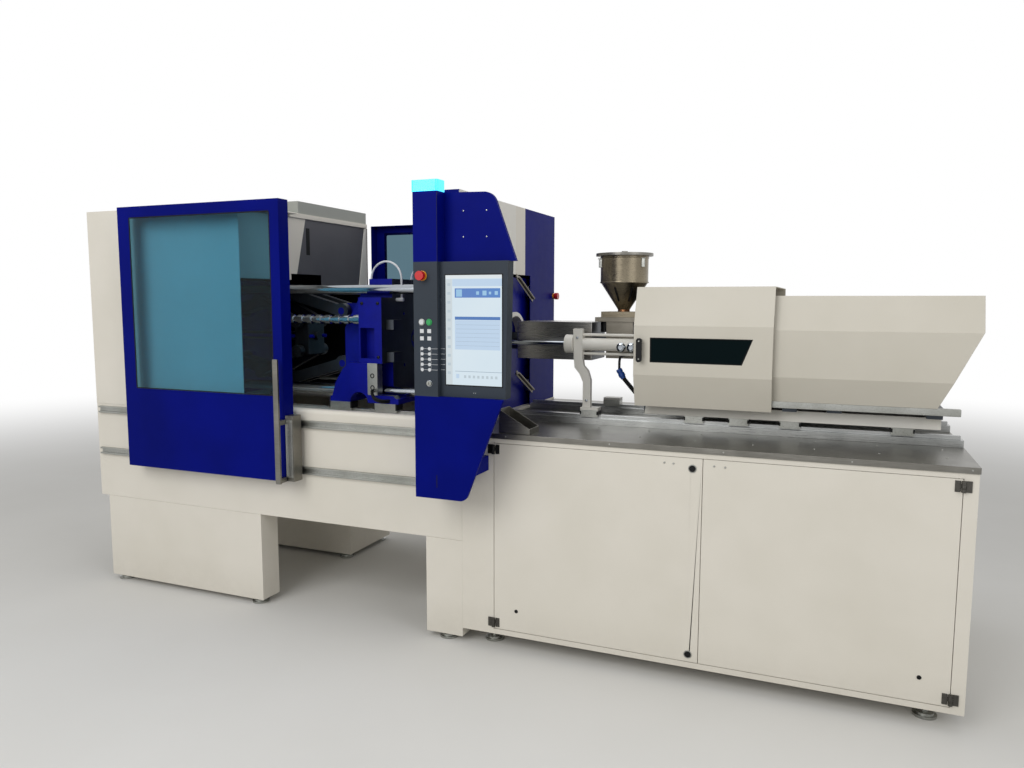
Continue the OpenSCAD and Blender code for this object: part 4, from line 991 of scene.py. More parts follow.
class PaintShop:
    """Builds each finish once and puts it on pieces."""

    def __init__(self) -> None:
        """Starts with no material made."""
        self.made: dict[str, bpy.types.Material] = {}

    def material(self, look: NamedFinish) -> bpy.types.Material:
        """Gives the material of a finish, which is built the first time.

        Args:
            look: The finish.

        Returns:
            The material.
        """
        if look.slot not in self.made:
            self.made[look.slot] = look.finish.build(look.slot)
        return self.made[look.slot]

    def coat(self, piece: Piece, look: NamedFinish) -> None:
        """Puts one finish on a whole piece.

        Args:
            piece: The piece.
            look: The finish.
        """
        piece.data.materials.clear()
        piece.data.materials.append(self.material(look))

    def coat_part(self, piece: Piece, look: Look, inside: Callable[[Vector], bool]) -> None:
        """Puts a finish on those faces of a piece whose middle passes a test.

        Args:
            piece: The piece.
            look: The finish.
            inside: Takes the middle of a face in millimetres.
        """
        piece.data.materials.append(self.material(look))
        number = len(piece.data.materials) - 1
        for face in piece.data.polygons:
            if inside((face.center - BED_CORNER) / MM):
                face.material_index = number


SHOP = PaintShop()


def fitted(piece: Piece, look: Look, body: str = "frame") -> None:
    """Smooths a new piece, gives it its finish and lets it ride on a body.

    Args:
        piece: The piece.
        look: Its finish.
        body: The body that carries it.
    """
    smooth(piece)
    SHOP.coat(piece, look)
    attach(piece, body)
    LOG.info("made %s, %d faces, on %s", piece.name, len(piece.data.polygons), body)


def studs(name: str, places: Sequence[Point], head: Head, look: Look, body: str = "frame",
          axis: Point = FRONT) -> None:
    """Sets a row of equal screw heads.

    Args:
        name: Name of the piece.
        places: Middles of their seats.
        head: Their size.
        look: Their finish.
        body: The body that carries them.
        axis: Direction in which they stand out.
    """
    pattern = screw_head(name, places[0], axis, head)
    fitted(repeated(name, pattern, [Vector(p) - Vector(places[0]) for p in places]), look, body)


@dataclass
class ShowPieces:
    """The construction's nodes, each shown by a copy with rounded edges. Widths are in millimetres."""

    rounded: dict[float, tuple[str, ...]] = field(default_factory=lambda: {
        6.0: ("signal_light",),
        3.0: ("clamp_bed", "pedestals", "control_column", "barrel_cover", "moving_platen", "rear_platen"),
        2.0: ("injection_cabinet", "fixed_platen", "control_housing", "guard_door", "guard_handle",
              "rear_door", "cabinet_door_left", "cabinet_door_right", "injection_carriage",
              "injection_motors", "pressure_plate", "rear_cover", "clamp_motor", "crosshead"),
        1.5: ("end_cover", "roof_cover", "platen_cover", "screen", "barrel_bracket", "feed_throat",
              "cover_handle", "stop_button", "rear_stop_button", "tie_bars"),
        1.2: ("front_cover",),
        1.0: ("hopper_lid", "platen_fittings", "slide_rails", "levelling_feet"),
        0.8: ("table_top", "guard_rails", "start_button", "hold_button", "safety_rod"),
        0.6: ("lock_upper", "lock_lower"),
        0.5: ("key_switch",),
        0.4: ("hopper",)})
    # The covers' shallow folds must stay crisp
    folded: tuple[str, ...] = ("front_cover", "rear_cover")
    fold_angle: float = 12.0

    def build(self) -> dict[str, Piece]:
        """Dresses every node.

        Returns:
            The pieces by node.
        """
        widths = {node: width for width, nodes in self.rounded.items() for node in nodes}
        shown = {}
        for node in frame["nodes"]:
            fold = self.fold_angle if node in self.folded else SMOOTH_ANGLE
            shown[node] = dressed(node, widths.get(node, 0.0), fold)
            SHOP.coat(shown[node], LOOK_OF_SLOT[SLOT_OF_NODE[node]])
            LOG.info("dressed %s, %d faces", node, len(shown[node].data.polygons))
        return shown


class Trim(ABC):
    """Small hardware and finishes that one sub-assembly gets once its nodes are dressed."""

    @abstractmethod
    def build(self, shown: dict[str, Piece]) -> None:
        """Adds the hardware and coats parts of the dressed pieces.

        Args:
            shown: The dressed pieces by node.
        """


@dataclass
class CabinetTrim(Trim):
    """Small hardware of the cabinet under the injection unit. Places are x and z in millimetres."""

    door_mid: float = 3438.5
    plugs: tuple[Span, ...] = ((2611, 198), (4270, 198))
    plug: Head = Head(17, 3.5)
    door_screws: tuple[Span, ...] = ((3280, 952), (3318, 951), (3484, 952), (3528, 951))
    door_screw: Head = Head(9, 2.5)
    locks: tuple[Span, ...] = ((3396.5, 133), (3396.5, 935))
    lock_rim: Rim = Rim(13.6, 17.5, 2.4)
    rim_screws: tuple[float, ...] = (2560, 3043, 3520, 4000, 4403)
    rim_screw: Head = Head(7, 1.6)
    rim_y: float = -6.0
    rim_z: float = 1013.0
    hinge_x: Span = (2499, 4378)
    hinge_z: Span = (131, 951)
    hinge_half: Span = (30, 60)
    hinge_front: float = -0.4
    cap_right: float = 2600.0
    cap_low: float = 900.0

    def build(self, shown: dict[str, Piece]) -> None:
        """Adds plugs, screws and lock rings, and darkens the hinges.

        Args:
            shown: The dressed pieces by node.
        """
        for n, (x, z) in enumerate(self.plugs):
            studs(f"door_plug_{n + 1}", [(x, 0, z)], self.plug, Look.BLACK, self.door_at(x))
        for body in ("left_door", "right_door"):
            seats = [(x, 0, z) for x, z in self.door_screws if self.door_at(x) == body]
            studs(body + "_screws", seats, self.door_screw, Look.ZINC, body)
        for n, (x, z) in enumerate(self.locks):
            fitted(ring(f"lock_ring_{n + 1}", (x, 0, z), self.lock_rim), Look.ZINC, "left_door")
        seats = [(x, self.rim_y, self.rim_z) for x in self.rim_screws]
        studs("table_rim_screws", seats, self.rim_screw, Look.ZINC)
        for node in ("cabinet_door_left", "cabinet_door_right", "injection_cabinet"):
            SHOP.coat_part(shown[node], Look.HINGE, self.is_hinge)
            SHOP.coat_part(shown[node], Look.RUBBER, self.is_capped_hinge)

    def door_at(self, x: float) -> str:
        """Gives the door that a place belongs to."""
        return "left_door" if x < self.door_mid else "right_door"

    def is_hinge(self, middle: Vector) -> bool:
        """Tells whether a face belongs to a door hinge.

        Args:
            middle: Middle of the face in millimetres.

        Returns:
            True for a hinge's face.
        """
        half_x, half_z = self.hinge_half
        outside = middle.y < self.hinge_front
        return outside and near(middle.x, self.hinge_x, half_x) and near(middle.z, self.hinge_z, half_z)

    def is_capped_hinge(self, middle: Vector) -> bool:
        """Tells whether a face belongs to the left upper hinge, which has a black cap."""
        return self.is_hinge(middle) and middle.x < self.cap_right and middle.z > self.cap_low


@dataclass
class EndCoverTrim(Trim):
    """The roof ledge of the clamp end's cover, and painted shade on the wall under it, in its slot and on its
    inner faces.
    """

    wall_x: float = 1000.0
    ledge_z: Span = (2100, 2130)
    ledge_y: Span = (492, 1298)
    slot_shade_y: Span = (652, 686)
    slot_shade_z: Span = (1893, 2050)
    flange_y: tuple[float, float, float] = (1196, 1272, 1299)
    flange_low: float = 1700.0
    flange_thick: float = 5.0
    rear_shade_y: Span = (1290, 1297)
    left_shade_x: Span = (3, 5)
    door_shade_y: Span = (1324, 1399)
    door_shade_top: float = 1140.0

    def build(self, shown: dict[str, Piece]) -> None:
        """Coats the parts of the cover, partly with painted shade, and adds the slot's painted shade and the
        flange beside the wall.

        Args:
            shown: The dressed pieces by node.
        """
        x, (low, high), (foot, neck, rear) = self.wall_x, self.ledge_z, self.flange_y
        ledge = (low - 0.5, high + 0.5)
        roof, cover, door = shown["roof_cover"], shown["end_cover"], shown["rear_door"]
        # Painted shade: the wall under the ledge gets the dark grey of the ledge's shadow
        SHOP.coat_part(roof, Look.SHADED_WALL, lambda m: m.z < ledge[0] and m.x > x - 6)
        SHOP.coat_part(roof, Look.WHITE, lambda m: between(m.z, ledge) and m.x > x - 2)
        # Painted shade: the inner faces of the cover and of the rear door near black
        SHOP.coat_part(cover, Look.INNER_SHADE,
                       lambda m: between(m.y, self.rear_shade_y) or between(m.x, self.left_shade_x))
        SHOP.coat_part(door, Look.INNER_SHADE,
                       lambda m: between(m.y, self.door_shade_y) and m.z < self.door_shade_top)
        # Painted shade: a thin black strip on the wall where the slot lies in shade
        fitted(block("wall_slot_shade", (x - 1, x + 0.8), self.slot_shade_y, self.slot_shade_z, 0.3), Look.RUBBER)
        outline = [(x, neck, low), (x, rear, low), (x, rear, self.flange_low), (x, foot, self.flange_low)]
        fitted(raised("wall_flange", outline, (self.flange_thick, 0, 0), 1.0), Look.CREAM)
        fitted(block("ledge_lip", (x - 20, x + 9), self.ledge_y, (low + 1, high - 2), 2.0), Look.WHITE)


@dataclass
class GuardTrim(Trim):
    """Seal, screws and latch plate of the sliding front guard, and the guards' panes."""

    opening_x: Span = (425, 1350)
    opening_z: Span = (1150, 2061)
    front_y: float = -100.0
    seal_gap: float = 0.4
    seal_width: float = 6.0
    seal_depth: float = 3.4
    latch_x: Span = (1408, 1448)
    latch_z: Span = (742, 1035)
    latch_thick: float = 2.0
    screw_x: Span = (1415, 1441)
    screw_z: Span = (752, 1025)
    screw: Head = Head(7, 2)

    def build(self, shown: dict[str, Piece]) -> None:
        """Adds the trim, and lets light pass the panes.

        Args:
            shown: The dressed pieces by node.
        """
        (x0, x1), (z0, z1), gap = self.opening_x, self.opening_z, self.seal_gap
        seal = border("pane_seal", (x0 + gap, x1 - gap), (z0 + gap, z1 - gap), self.front_y + 0.5,
                      self.seal_width, self.seal_depth)
        fitted(seal, Look.RUBBER, "front_guard")
        SHOP.coat(shown["rear_window"], Look.REAR_PANE)
        for node in ("guard_window", "rear_window"):
            shown[node].visible_shadow = False
        bed = front_of("guard_handle", sum(self.latch_x) / 2, 900)
        front = bed - self.latch_thick
        fitted(block("latch_plate", self.latch_x, (front, bed + 0.2), self.latch_z), Look.ZINC, "front_guard")
        seats = [(x, front, z) for x in self.screw_x for z in self.screw_z]
        studs("latch_screws", seats, self.screw, Look.ZINC, "front_guard")


@dataclass
class ClampTrim(Trim):
    """What the moving platen carries on its front side."""

    shoes: tuple[Span, ...] = ((1413, 1553), (1690, 1830))
    shoe_y: Span = (268, 332)
    shoe_z: Span = (1054, 1088)
    cap: float = 7.0
    cap_over: float = 0.8
    block_y: float = 280.0
    block_screws: tuple[Span, ...] = ((1622, 1610), (1718, 1610), (1718, 1330))
    block_screw: Head = Head(18, 5)
    machined_x: float = 1738.0
    machined_z: float = 1115.0
    pipes_low: float = 1600.0
    coolant_top: float = 1300.0
    port_y: float = 270.0
    ports: tuple[Span, ...] = ((1685, 1170), (1685, 1232))
    port_profile: tuple[Span, ...] = ((0, -3), (13, -3), (13, 0.6), (10, 1.6), (8, 1.6), (8, -2), (0, -2))
    hose: float = 9.0
    hose_run: tuple[Point, ...] = (
        (1700, 262, 1150), (1700, 240, 1150), (1716, 236, 1112), (1760, 240, 1098), (1800, 300, 1098))

    def build(self, shown: dict[str, Piece]) -> None:
        """Adds the trim and gives the platen its machined face.

        Args:
            shown: The dressed pieces by node.
        """
        over, caps = self.cap_over, []
        mirrored = (BED_WIDTH - self.shoe_y[1], BED_WIDTH - self.shoe_y[0])
        for left, right in self.shoes:
            for y0, y1 in (self.shoe_y, mirrored):
                for ends in ((left - over, left + self.cap + over), (right - self.cap - over, right + over)):
                    caps.append(block("shoe_cap", ends, (y0 - over, y1 + over),
                                      (self.shoe_z[0], self.shoe_z[1] + over), 2.0))
        fitted(joined("shoe_end_caps", caps), Look.BLACK, "moving_platen")
        seats = [(x, self.block_y, z) for x, z in self.block_screws]
        studs("side_block_screws", seats, self.block_screw, Look.BLACK, "moving_platen")
        SHOP.coat_part(shown["moving_platen"], Look.STEEL,
                       lambda m: m.x > self.machined_x and m.z > self.machined_z)
        SHOP.coat_part(shown["platen_fittings"], Look.PALE, lambda m: m.z > self.pipes_low)
        SHOP.coat_part(shown["platen_fittings"], Look.ZINC, lambda m: m.z < self.coolant_top)
        ports = [turned("port", (x, self.port_y, z), FRONT, self.port_profile, 24) for x, z in self.ports]
        fitted(joined("coolant_ports", ports), Look.BLACK, "moving_platen")
        fitted(joined("coolant_hoses", self.hoses()), Look.RUBBER, "moving_platen")

    def hoses(self) -> list[Piece]:
        """Draws the four hoses that run from the coolant block along the platen's foot.

        Returns:
            The hoses.
        """
        shifts = [(n % 2 * self.hose, n // 2 * (self.hose + 1)) for n in range(4)]
        return [pipe("hose", [(x, y - to_front, z + up) for x, y, z in self.hose_run], self.hose)
                for to_front, up in shifts]


@dataclass
class PlatenCoverBands(Trim):
    """The finishes of the fixed platen's cover, whose right side shows cream, white and blue bands."""

    first_band: float = 680.0
    second_band: float = 815.0
    wall_x: float = 2330.0
    wall_thick: float = 30.0
    strip_thick: float = 8.0
    stop: Span = (1282, 1653)
    stop_rim: Rim = Rim(12, 18, 6.5)
    strip_tops: Span = (1745, 1228)
    rod: float = 12.0
    # Right of the wall, to the rear of the bed's front and above the strip's top
    rod_run: tuple[Point, ...] = ((6, 668, 4), (10, 700, 8), (10, 930, -108))

    def build(self, shown: dict[str, Piece]) -> None:
        """Cuts the cover at the bands, coats each, and adds the stop button's ring and the rods.

        Args:
            shown: The dressed pieces by node.
        """
        cover, wall = shown["platen_cover"], self.wall_x
        for y in (self.first_band, self.second_band):
            cut_at(cover, (0, y, 0), REAR)
        inner, bands = wall - self.wall_thick, (self.first_band, self.second_band)
        SHOP.coat_part(cover, Look.CREAM, lambda m: m.x > inner and m.y < self.first_band)
        SHOP.coat_part(cover, Look.WHITE, lambda m: m.x > inner and between(m.y, bands))
        SHOP.coat_part(cover, Look.WARM_STEEL, lambda m: between(m.x, (wall + 0.3, wall + self.strip_thick)))
        SHOP.coat_part(cover, Look.CREAM, lambda m: m.x > wall + self.strip_thick)
        fitted(ring("rear_stop_ring", (wall, *self.stop), self.stop_rim, RIGHT), Look.AMBER)
        rods = [pipe("strip_rod", [(wall + x, y, top + z) for x, y, z in self.rod_run], self.rod)
                for top in self.strip_tops]
        fitted(joined("strip_rods", rods), Look.WARM_STEEL)


@dataclass
class ScreenPicture(Trim):
    """The screen's lit fields, each placed by shares of the screen's width and of its height from above."""

    screen_x: Span = (2357, 2625)
    screen_z: Span = (1260, 1736)
    glass_y: float = -197.0
    low_rise: float = 0.5
    high_rise: float = 0.7
    inner: Span = (0.008, 0.992)
    page: Span = (0.172, 0.966)

    def lit(self, name: str, tint: ScreenTint, across: Span, down: Span, rise: float) -> None:
        """Lays one lit field on the glass.

        Args:
            name: Name of the field.
            tint: Its colour.
            across: Its left and right ends as shares of the screen's width.
            down: Its top and bottom as shares of the screen's height from above.
            rise: Height of the field over the glass in millimetres.
        """
        (left, right), (bottom, top) = self.screen_x, self.screen_z
        x = tuple(left + (right - left) * share for share in across)
        z = tuple(top - (top - bottom) * share for share in reversed(down))
        piece = block("screen_" + name, x, (self.glass_y - rise, self.glass_y + 0.2), z, 0.1, 1)
        SHOP.coat(piece, tint)
        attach(piece, "frame")

    def build(self, shown: dict[str, Piece]) -> None:
        """Lays out the header, the menu column, the banner, the rows and the icons.

        Args:
            shown: The dressed pieces by node, which are not used.
        """
        low, high = self.low_rise, self.high_rise
        self.lit("ground", ScreenTint.GROUND, self.inner, (0.005, 0.995), 0.3)
        self.lit("header", ScreenTint.HEADER, self.inner, (0.005, 0.034), low)
        self.lit("title", ScreenTint.ROW, (0.13, self.inner[1]), (0.04, 0.104), low)
        self.lit("menu", ScreenTint.MENU, (self.inner[0], 0.125), (0.04, 0.995), low)
        self.lit("banner", ScreenTint.BANNER, self.page, (0.123, 0.206), low)
        self.lit("banner_tile", ScreenTint.TILE, (0.195, 0.30), (0.132, 0.197), high)
        for n, (x, size) in enumerate(((0.55, 0.05), (0.66, 0.07), (0.77, 0.04), (0.87, 0.055))):
            tall = (0.165 - size * 0.3, 0.165 + size * 0.3)
            self.lit(f"banner_mark_{n + 1}", ScreenTint.TILE, (x, x + size), tall, high)
        self.lit("bar", ScreenTint.BAR, self.page, (0.376, 0.404), low)
        self.lit("rows", ScreenTint.ROW, self.page, (0.408, 0.672), low)
        for n in range(6):
            top = 0.448 + n * 0.0376
            self.lit(f"row_{n + 1}", ScreenTint.LINE, (0.19, 0.95), (top, top + 0.0022), high)
        self.lit("foot_line", ScreenTint.LINE, (self.page[0], self.inner[1]), (0.868, 0.873), low)
        self.lit("home", ScreenTint.ROW, (0.19, 0.245), (0.895, 0.935), low)
        for n in range(8):
            x = 0.33 + n * 0.078
            self.lit(f"icon_{n + 1}", ScreenTint.ICON, (x, x + 0.04), (0.905, 0.93), low)
        for n in range(11):
            top = 0.075 + n * 0.08
            self.lit(f"menu_icon_{n + 1}", ScreenTint.ICON, (0.04, 0.095), (top, top + 0.025), high)


@dataclass
class ControlTrim(Trim):
    """The screen's picture, the keys and the trim of the control column."""

    picture: ScreenPicture = field(default_factory=ScreenPicture)
    seal_over: float = 2.5
    seal_rise: float = 1.2
    seal_width: float = 2.4
    seal_depth: float = 2.0
    front_y: float = -220.0
    frame_y: float = -195.0
    wing_y: float = -150.0
    key_x: Span = (2254, 2290)
    key_half: Span = (11, 9)
    round_z: tuple[float, ...] = (1325, 1348, 1371, 1394, 1417)
    square_z: tuple[Span, ...] = ((1452, 1471), (1484, 1503))
    line_x: tuple[Span, ...] = ((2262, 2282), (2298, 2331), (2333, 2354))
    stop: Span = (2259, 1732)
    stop_rim: Rim = Rim(15, 21.5, 4)
    button_rim: Rim = Rim(11.2, 14.5, 2.2)
    buttons: tuple[tuple[str, Span, Look], ...] = (
        ("start_ring", (2290, 1532), Look.GREEN), ("hold_ring", (2254, 1532), Look.ZINC),
        ("key_ring", (2289, 1265), Look.CHROME))
    wing_screws: tuple[Span, ...] = ((2423, 2008), (2532, 2007), (2423, 1898), (2533, 1897))
    wing_screw: Head = Head(6.5, 1.8)
    seam_shade_x: Span = (2330.2, 2331.9)
    seam_shade_z: Span = (1210, 2088)
    groove_x: Span = (2319, 2323)
    groove_z: Span = (803, 860)
    marks: tuple[Span, ...] = ((2490, 1229), (2498, 1229))
    mark: Head = Head(3.2, 0.6)

    def build(self, shown: dict[str, Piece]) -> None:
        """Builds the screen's picture, the keys' finish, the buttons' rings and the small hardware.

        Args:
            shown: The dressed pieces by node.
        """
        self.picture.build(shown)
        (x0, x1), (z0, z1), over = self.picture.screen_x, self.picture.screen_z, self.seal_over
        front, rear = self.front_y, self.frame_y
        seal = border("screen_seal", (x0 - over, x1 + over), (z0 - over, z1 + over),
                      self.frame_y - self.seal_rise, self.seal_width, self.seal_depth)
        fitted(seal, Look.BLACK)
        SHOP.coat_part(shown["control_housing"], Look.PALE, self.is_key)
        SHOP.coat_part(shown["start_button"], Look.PALE, lambda m: m.y < front - 5)
        fitted(ring("stop_ring", (self.stop[0], front, self.stop[1]), self.stop_rim), Look.AMBER)
        for name, (x, z), look in self.buttons:
            fitted(ring(name, (x, front, z), self.button_rim), look)
        fitted(joined("key_lines", self.key_lines()), Look.PALE)
        studs("wing_screws", [(x, self.wing_y, z) for x, z in self.wing_screws], self.wing_screw, Look.ZINC)
        # The dark joint beside the column, widened into painted shade where the column stands out from the
        # frame
        fitted(block("column_seam_shade", self.seam_shade_x, (front - 0.5, rear), self.seam_shade_z, 0.4), Look.BLACK)
        groove = block("cover_groove", self.groove_x, (front - 0.4, front + 0.4), self.groove_z, 0.3)
        fitted(groove, Look.RUBBER)
        studs("frame_marks", [(x, rear, z) for x, z in self.marks], self.mark, Look.PALE)

    def key_lines(self) -> list[Piece]:
        """Draws the thin lines that lead from the round keys to the screen.

        Returns:
            The lines.
        """
        lines = []
        for z in self.round_z:
            for x, y in zip(self.line_x, (self.front_y, self.front_y, self.frame_y)):
                lines.append(block("line", x, (y - 0.3, y + 0.1), (z - 0.6, z + 0.6), 0.1, 1))
        return lines

    def is_key(self, middle: Vector) -> bool:
        """Tells whether a face belongs to a key of the membrane panel.

        Args:
            middle: Middle of the face in millimetres.

        Returns:
            True for a key's face.
        """
        half_x, half_z = self.key_half
        if middle.y > self.front_y + 0.02 or not near(middle.x, self.key_x, half_x):
            return False
        return near(middle.z, self.round_z, half_z) or any(between(middle.z, z) for z in self.square_z)


@dataclass
class InjectionTrim(Trim):
    """Hardware of the injection unit's rails, bracket and feed."""

    rail_y: float = 440.0
    front_shoe: float = 2825.0
    shoes: tuple[float, ...] = (3330, 3530, 3750, 4200)
    shoe_half: float = 42.0
    cap: float = 8.0
    cap_half_width: float = 32.8
    cap_z: Span = (1073, 1091)
    couplings: tuple[Point, ...] = ((2978, 424, 1405), (3028, 424, 1405))
    coupling_profile: tuple[Span, ...] = (
        (0, 0), (18, 0), (22, 4), (22, 11), (18, 15), (18, 22), (13, 24), (11, 21), (11, 16), (0, 15))
    bracket_seats: tuple[Point, ...] = ((2758, 425, 1446), (2808, 425, 1140))
    bracket_head: Head = Head(13, 6)
    cable_start: Point = (2976, 470, 1257)
    cable_end: Point = (3092, 446, 1134)
    rib_pitch: float = 9.0
    rib_profile: tuple[Span, ...] = ((9, 0), (11, 2), (11, 5), (9, 7))
    bore: float = 6.2
    plug_place: Point = (2957, 470, 1292)
    plug_axis: Point = (22, 0, -38)
    plug_length: Span = (-4, 48)
    plug_profile: tuple[Span, ...] = (
        (13, -4), (15, -1), (15, 12), (13.4, 13), (13.4, 17), (16, 19), (16, 34), (13, 38), (13, 46))
    carriage_top: float = 1096.5
    beam_top: float = 1147.0
    beam_inner_y: Span = (490, 810)
    cover_rail_z: Span = (1164, 1196)
    cover_rail_y: Span = (346, 954)
    barrel_end: float = 2799.4
    table_z: float = 1025.0
    table_x: tuple[int, int, int] = (2900, 4400, 240)
    table_y: Span = (150, 330)
    table_screw: Head = Head(9, 2.4)

    def build(self, shown: dict[str, Piece]) -> None:
        """Adds end caps, couplings and screws, and coats the carriage's beams and rails.

        Args:
            shown: The dressed pieces by node.
        """
        seats = [(self.front_shoe, self.rail_y)]
        seats += [(x, y) for x in self.shoes for y in (self.rail_y, BED_WIDTH - self.rail_y)]
        caps = []
        for x, y in seats:
            for end in (x - self.shoe_half, x + self.shoe_half):
                caps.append(block("cap", (end - self.cap / 2, end + self.cap / 2),
                                  (y - self.cap_half_width, y + self.cap_half_width), self.cap_z, 2.0))
        fitted(joined("rail_shoe_caps", caps), Look.BLACK, "injection_unit")
        couplings = [turned("coupling", place, FRONT, self.coupling_profile, 28) for place in self.couplings]
        fitted(joined("coolant_couplings", couplings), Look.CHROME, "injection_unit")
        studs("bracket_fittings", self.bracket_seats, self.bracket_head, Look.CHROME, "injection_unit")
        self.cable()
        carriage, beam_z = shown["injection_carriage"], (self.carriage_top, self.beam_top)
        SHOP.coat_part(carriage, Look.ZINC, lambda m: m.z < self.carriage_top)
        SHOP.coat_part(carriage, Look.ZINC,
                       lambda m: between(m.z, self.cover_rail_z) and beyond(m.y, self.cover_rail_y))
        SHOP.coat_part(carriage, Look.CREAM,
                       lambda m: between(m.z, beam_z) and beyond(m.y, self.beam_inner_y))
        SHOP.coat_part(shown["barrel_cover"], Look.STEEL, lambda m: m.x > self.barrel_end)
        places = [(x, y, self.table_z) for x in range(*self.table_x) for y in self.table_y]
        studs("table_screws", places, self.table_screw, Look.ZINC, axis=UP)

    def cable(self) -> None:
        """Draws the heater cable's ribbed sleeve and its blue connector over the conduit."""
        along = Vector(self.cable_end) - Vector(self.cable_start)
        ribs = [(self.bore, 0.0)]
        for n in range(int(along.length / self.rib_pitch)):
            ribs += [(radius, n * self.rib_pitch + step) for radius, step in self.rib_profile]
        ribs.append((self.bore, along.length))
        sleeve = turned("cable_sleeve", self.cable_start, tuple(along), ribs, 18)
        fitted(sleeve, Look.RUBBER, "injection_unit")
        first, last = self.plug_length
        outline = [(self.bore, first), *self.plug_profile, (self.bore, last)]
        connector = turned("cable_connector", self.plug_place, self.plug_axis, outline, 24)
        fitted(connector, Look.PLUG, "injection_unit")


@dataclass
class HopperTrim(Trim):
    """Sight glasses, rim beads and clips of the hopper."""

    x: float = 2930.0
    y: float = 650.0
    drum_r: float = 118.5
    neck_r: float = 30.0
    cone_z: Span = (1582, 1717)
    bead_z: Span = (1717, 1838)
    # Out from the drum and up
    bead_profile: tuple[Span, ...] = ((-0.2, -4), (2.2, -3), (3, 0), (2.2, 3), (-0.2, 4))
    fitting_top: float = 1584.0
    fitting_r: float = 54.77
    spout_top: float = 1521.0
    spout_x: float = 2860.0
    clip_z: Span = (1790, 1836)
    clip_turns: Span = (-62, 62)
    clip_half: Span = (8, 5)
    wire: float = 5.0
    wire_half: float = 12.0
    sight_turns: Span = (-12, 38)
    sight_ends: Span = (0.3, 0.82)
    sight_across: float = 9.0
    sight_rise: float = 0.4

    def build(self, shown: dict[str, Piece]) -> None:
        """Adds the trim and gives the hopper its warm rolled sheet.

        Args:
            shown: The dressed pieces by node.
        """
        hopper, throat = shown["hopper"], shown["feed_throat"]
        SHOP.coat(hopper, Look.OLD_SHEET)
        SHOP.coat_part(hopper, Look.COPPER, lambda m: m.z < self.fitting_top
                       and math.hypot(m.x - self.x, m.y - self.y) < self.fitting_r)
        SHOP.coat(throat, Look.WARM_STEEL)
        SHOP.coat_part(throat, Look.MOTOR, lambda m: m.z < self.spout_top and m.x < self.spout_x)
        profile = [(self.drum_r + out, up) for out, up in self.bead_profile]
        for n, z in enumerate(self.bead_z):
            bead = turned(f"hopper_bead_{n + 1}", (self.x, self.y, z), UP, profile, 56)
            fitted(bead, Look.OLD_SHEET, "hopper")
        clips = []
        for turn in self.clip_turns:
            x, y, _ = self.around(turn, self.drum_r + 4, 0)
            half_x, half_y = self.clip_half
            clips.append(block("clip", (x - half_x, x + half_x), (y - half_y, y + half_y), self.clip_z, 2.5))
            ends = [(x + side * self.wire_half, y - 6, self.clip_z[1] - 2) for side in (-1, 1)]
            clips.append(bar("clip_wire", *ends, self.wire))
        fitted(joined("hopper_clips", clips), Look.ZINC, "hopper")
        fitted(joined("sight_glasses", [self.sight(turn) for turn in self.sight_turns]), Look.BLACK, "hopper")

    def around(self, turn: float, radius: float, z: float) -> Point:
        """Gives a point around the hopper.

        Args:
            turn: Degrees right of the hopper's front.
            radius: Distance from its axis in millimetres.
            z: Height above the floor.

        Returns:
            The point in millimetres.
        """
        angle = math.radians(turn - 90)
        return self.x + radius * math.cos(angle), self.y + radius * math.sin(angle), z

    def sight(self, turn: float) -> Piece:
        """Makes a dark slot window that lies in the cone.

        Args:
            turn: Degrees right of the hopper's front.

        Returns:
            The piece.
        """
        low, high = self.cone_z
        ends = []
        for share in self.sight_ends:
            radius = self.neck_r + (self.drum_r - self.neck_r) * share + self.sight_rise
            ends.append(self.around(turn, radius, low + (high - low) * share))
        return bar("sight", *ends, self.sight_across, 3.5, 20)


@dataclass
class CoverTrim(Trim):
    """Window border and screws of the injection unit's covers."""

    window: tuple[Span, ...] = ((3154, 1351), (3554, 1349), (3597, 1461), (3153, 1462))
    rim_share: Span = (0.975, 0.93)
    rim_depth: float = 2.4
    handle_x: float = 3110.0
    handle_y: float = 218.0
    handle_z: Span = (1366, 1446)
    handle_screw: Head = Head(6, 1.2)

    def build(self, shown: dict[str, Piece]) -> None:
        """Adds the border and the screws.

        Args:
            shown: The dressed pieces by node.
        """
        for node in ("front_cover", "rear_cover"):
            SHOP.coat(shown[node], Look.COVER)
        face = front_of("front_cover", 3128, 1400) + 0.4
        middle = [sum(place) / len(self.window) for place in zip(*self.window)]
        rims = []
        for start, end in zip(self.window, self.window[1:] + self.window[:1]):
            inner = [[m + (p - m) * share for p, m, share in zip(corner, middle, self.rim_share)]
                     for corner in (end, start)]
            outline = [(x, face, z) for x, z in (start, end, *inner)]
            rims.append(raised("rim", outline, (0, self.rim_depth, 0)))
        fitted(joined("window_rim", rims), Look.RUBBER, "front_cover")
        seats = [(self.handle_x, self.handle_y, z) for z in self.handle_z]
        studs("handle_screws", seats, self.handle_screw, Look.ZINC, "front_cover")


@dataclass(frozen=True)
class Lamp:
    """An area lamp. Lengths are in metres, its power in watts."""

    name: str
    place: Point
    target: Point
    size: float
    power: float


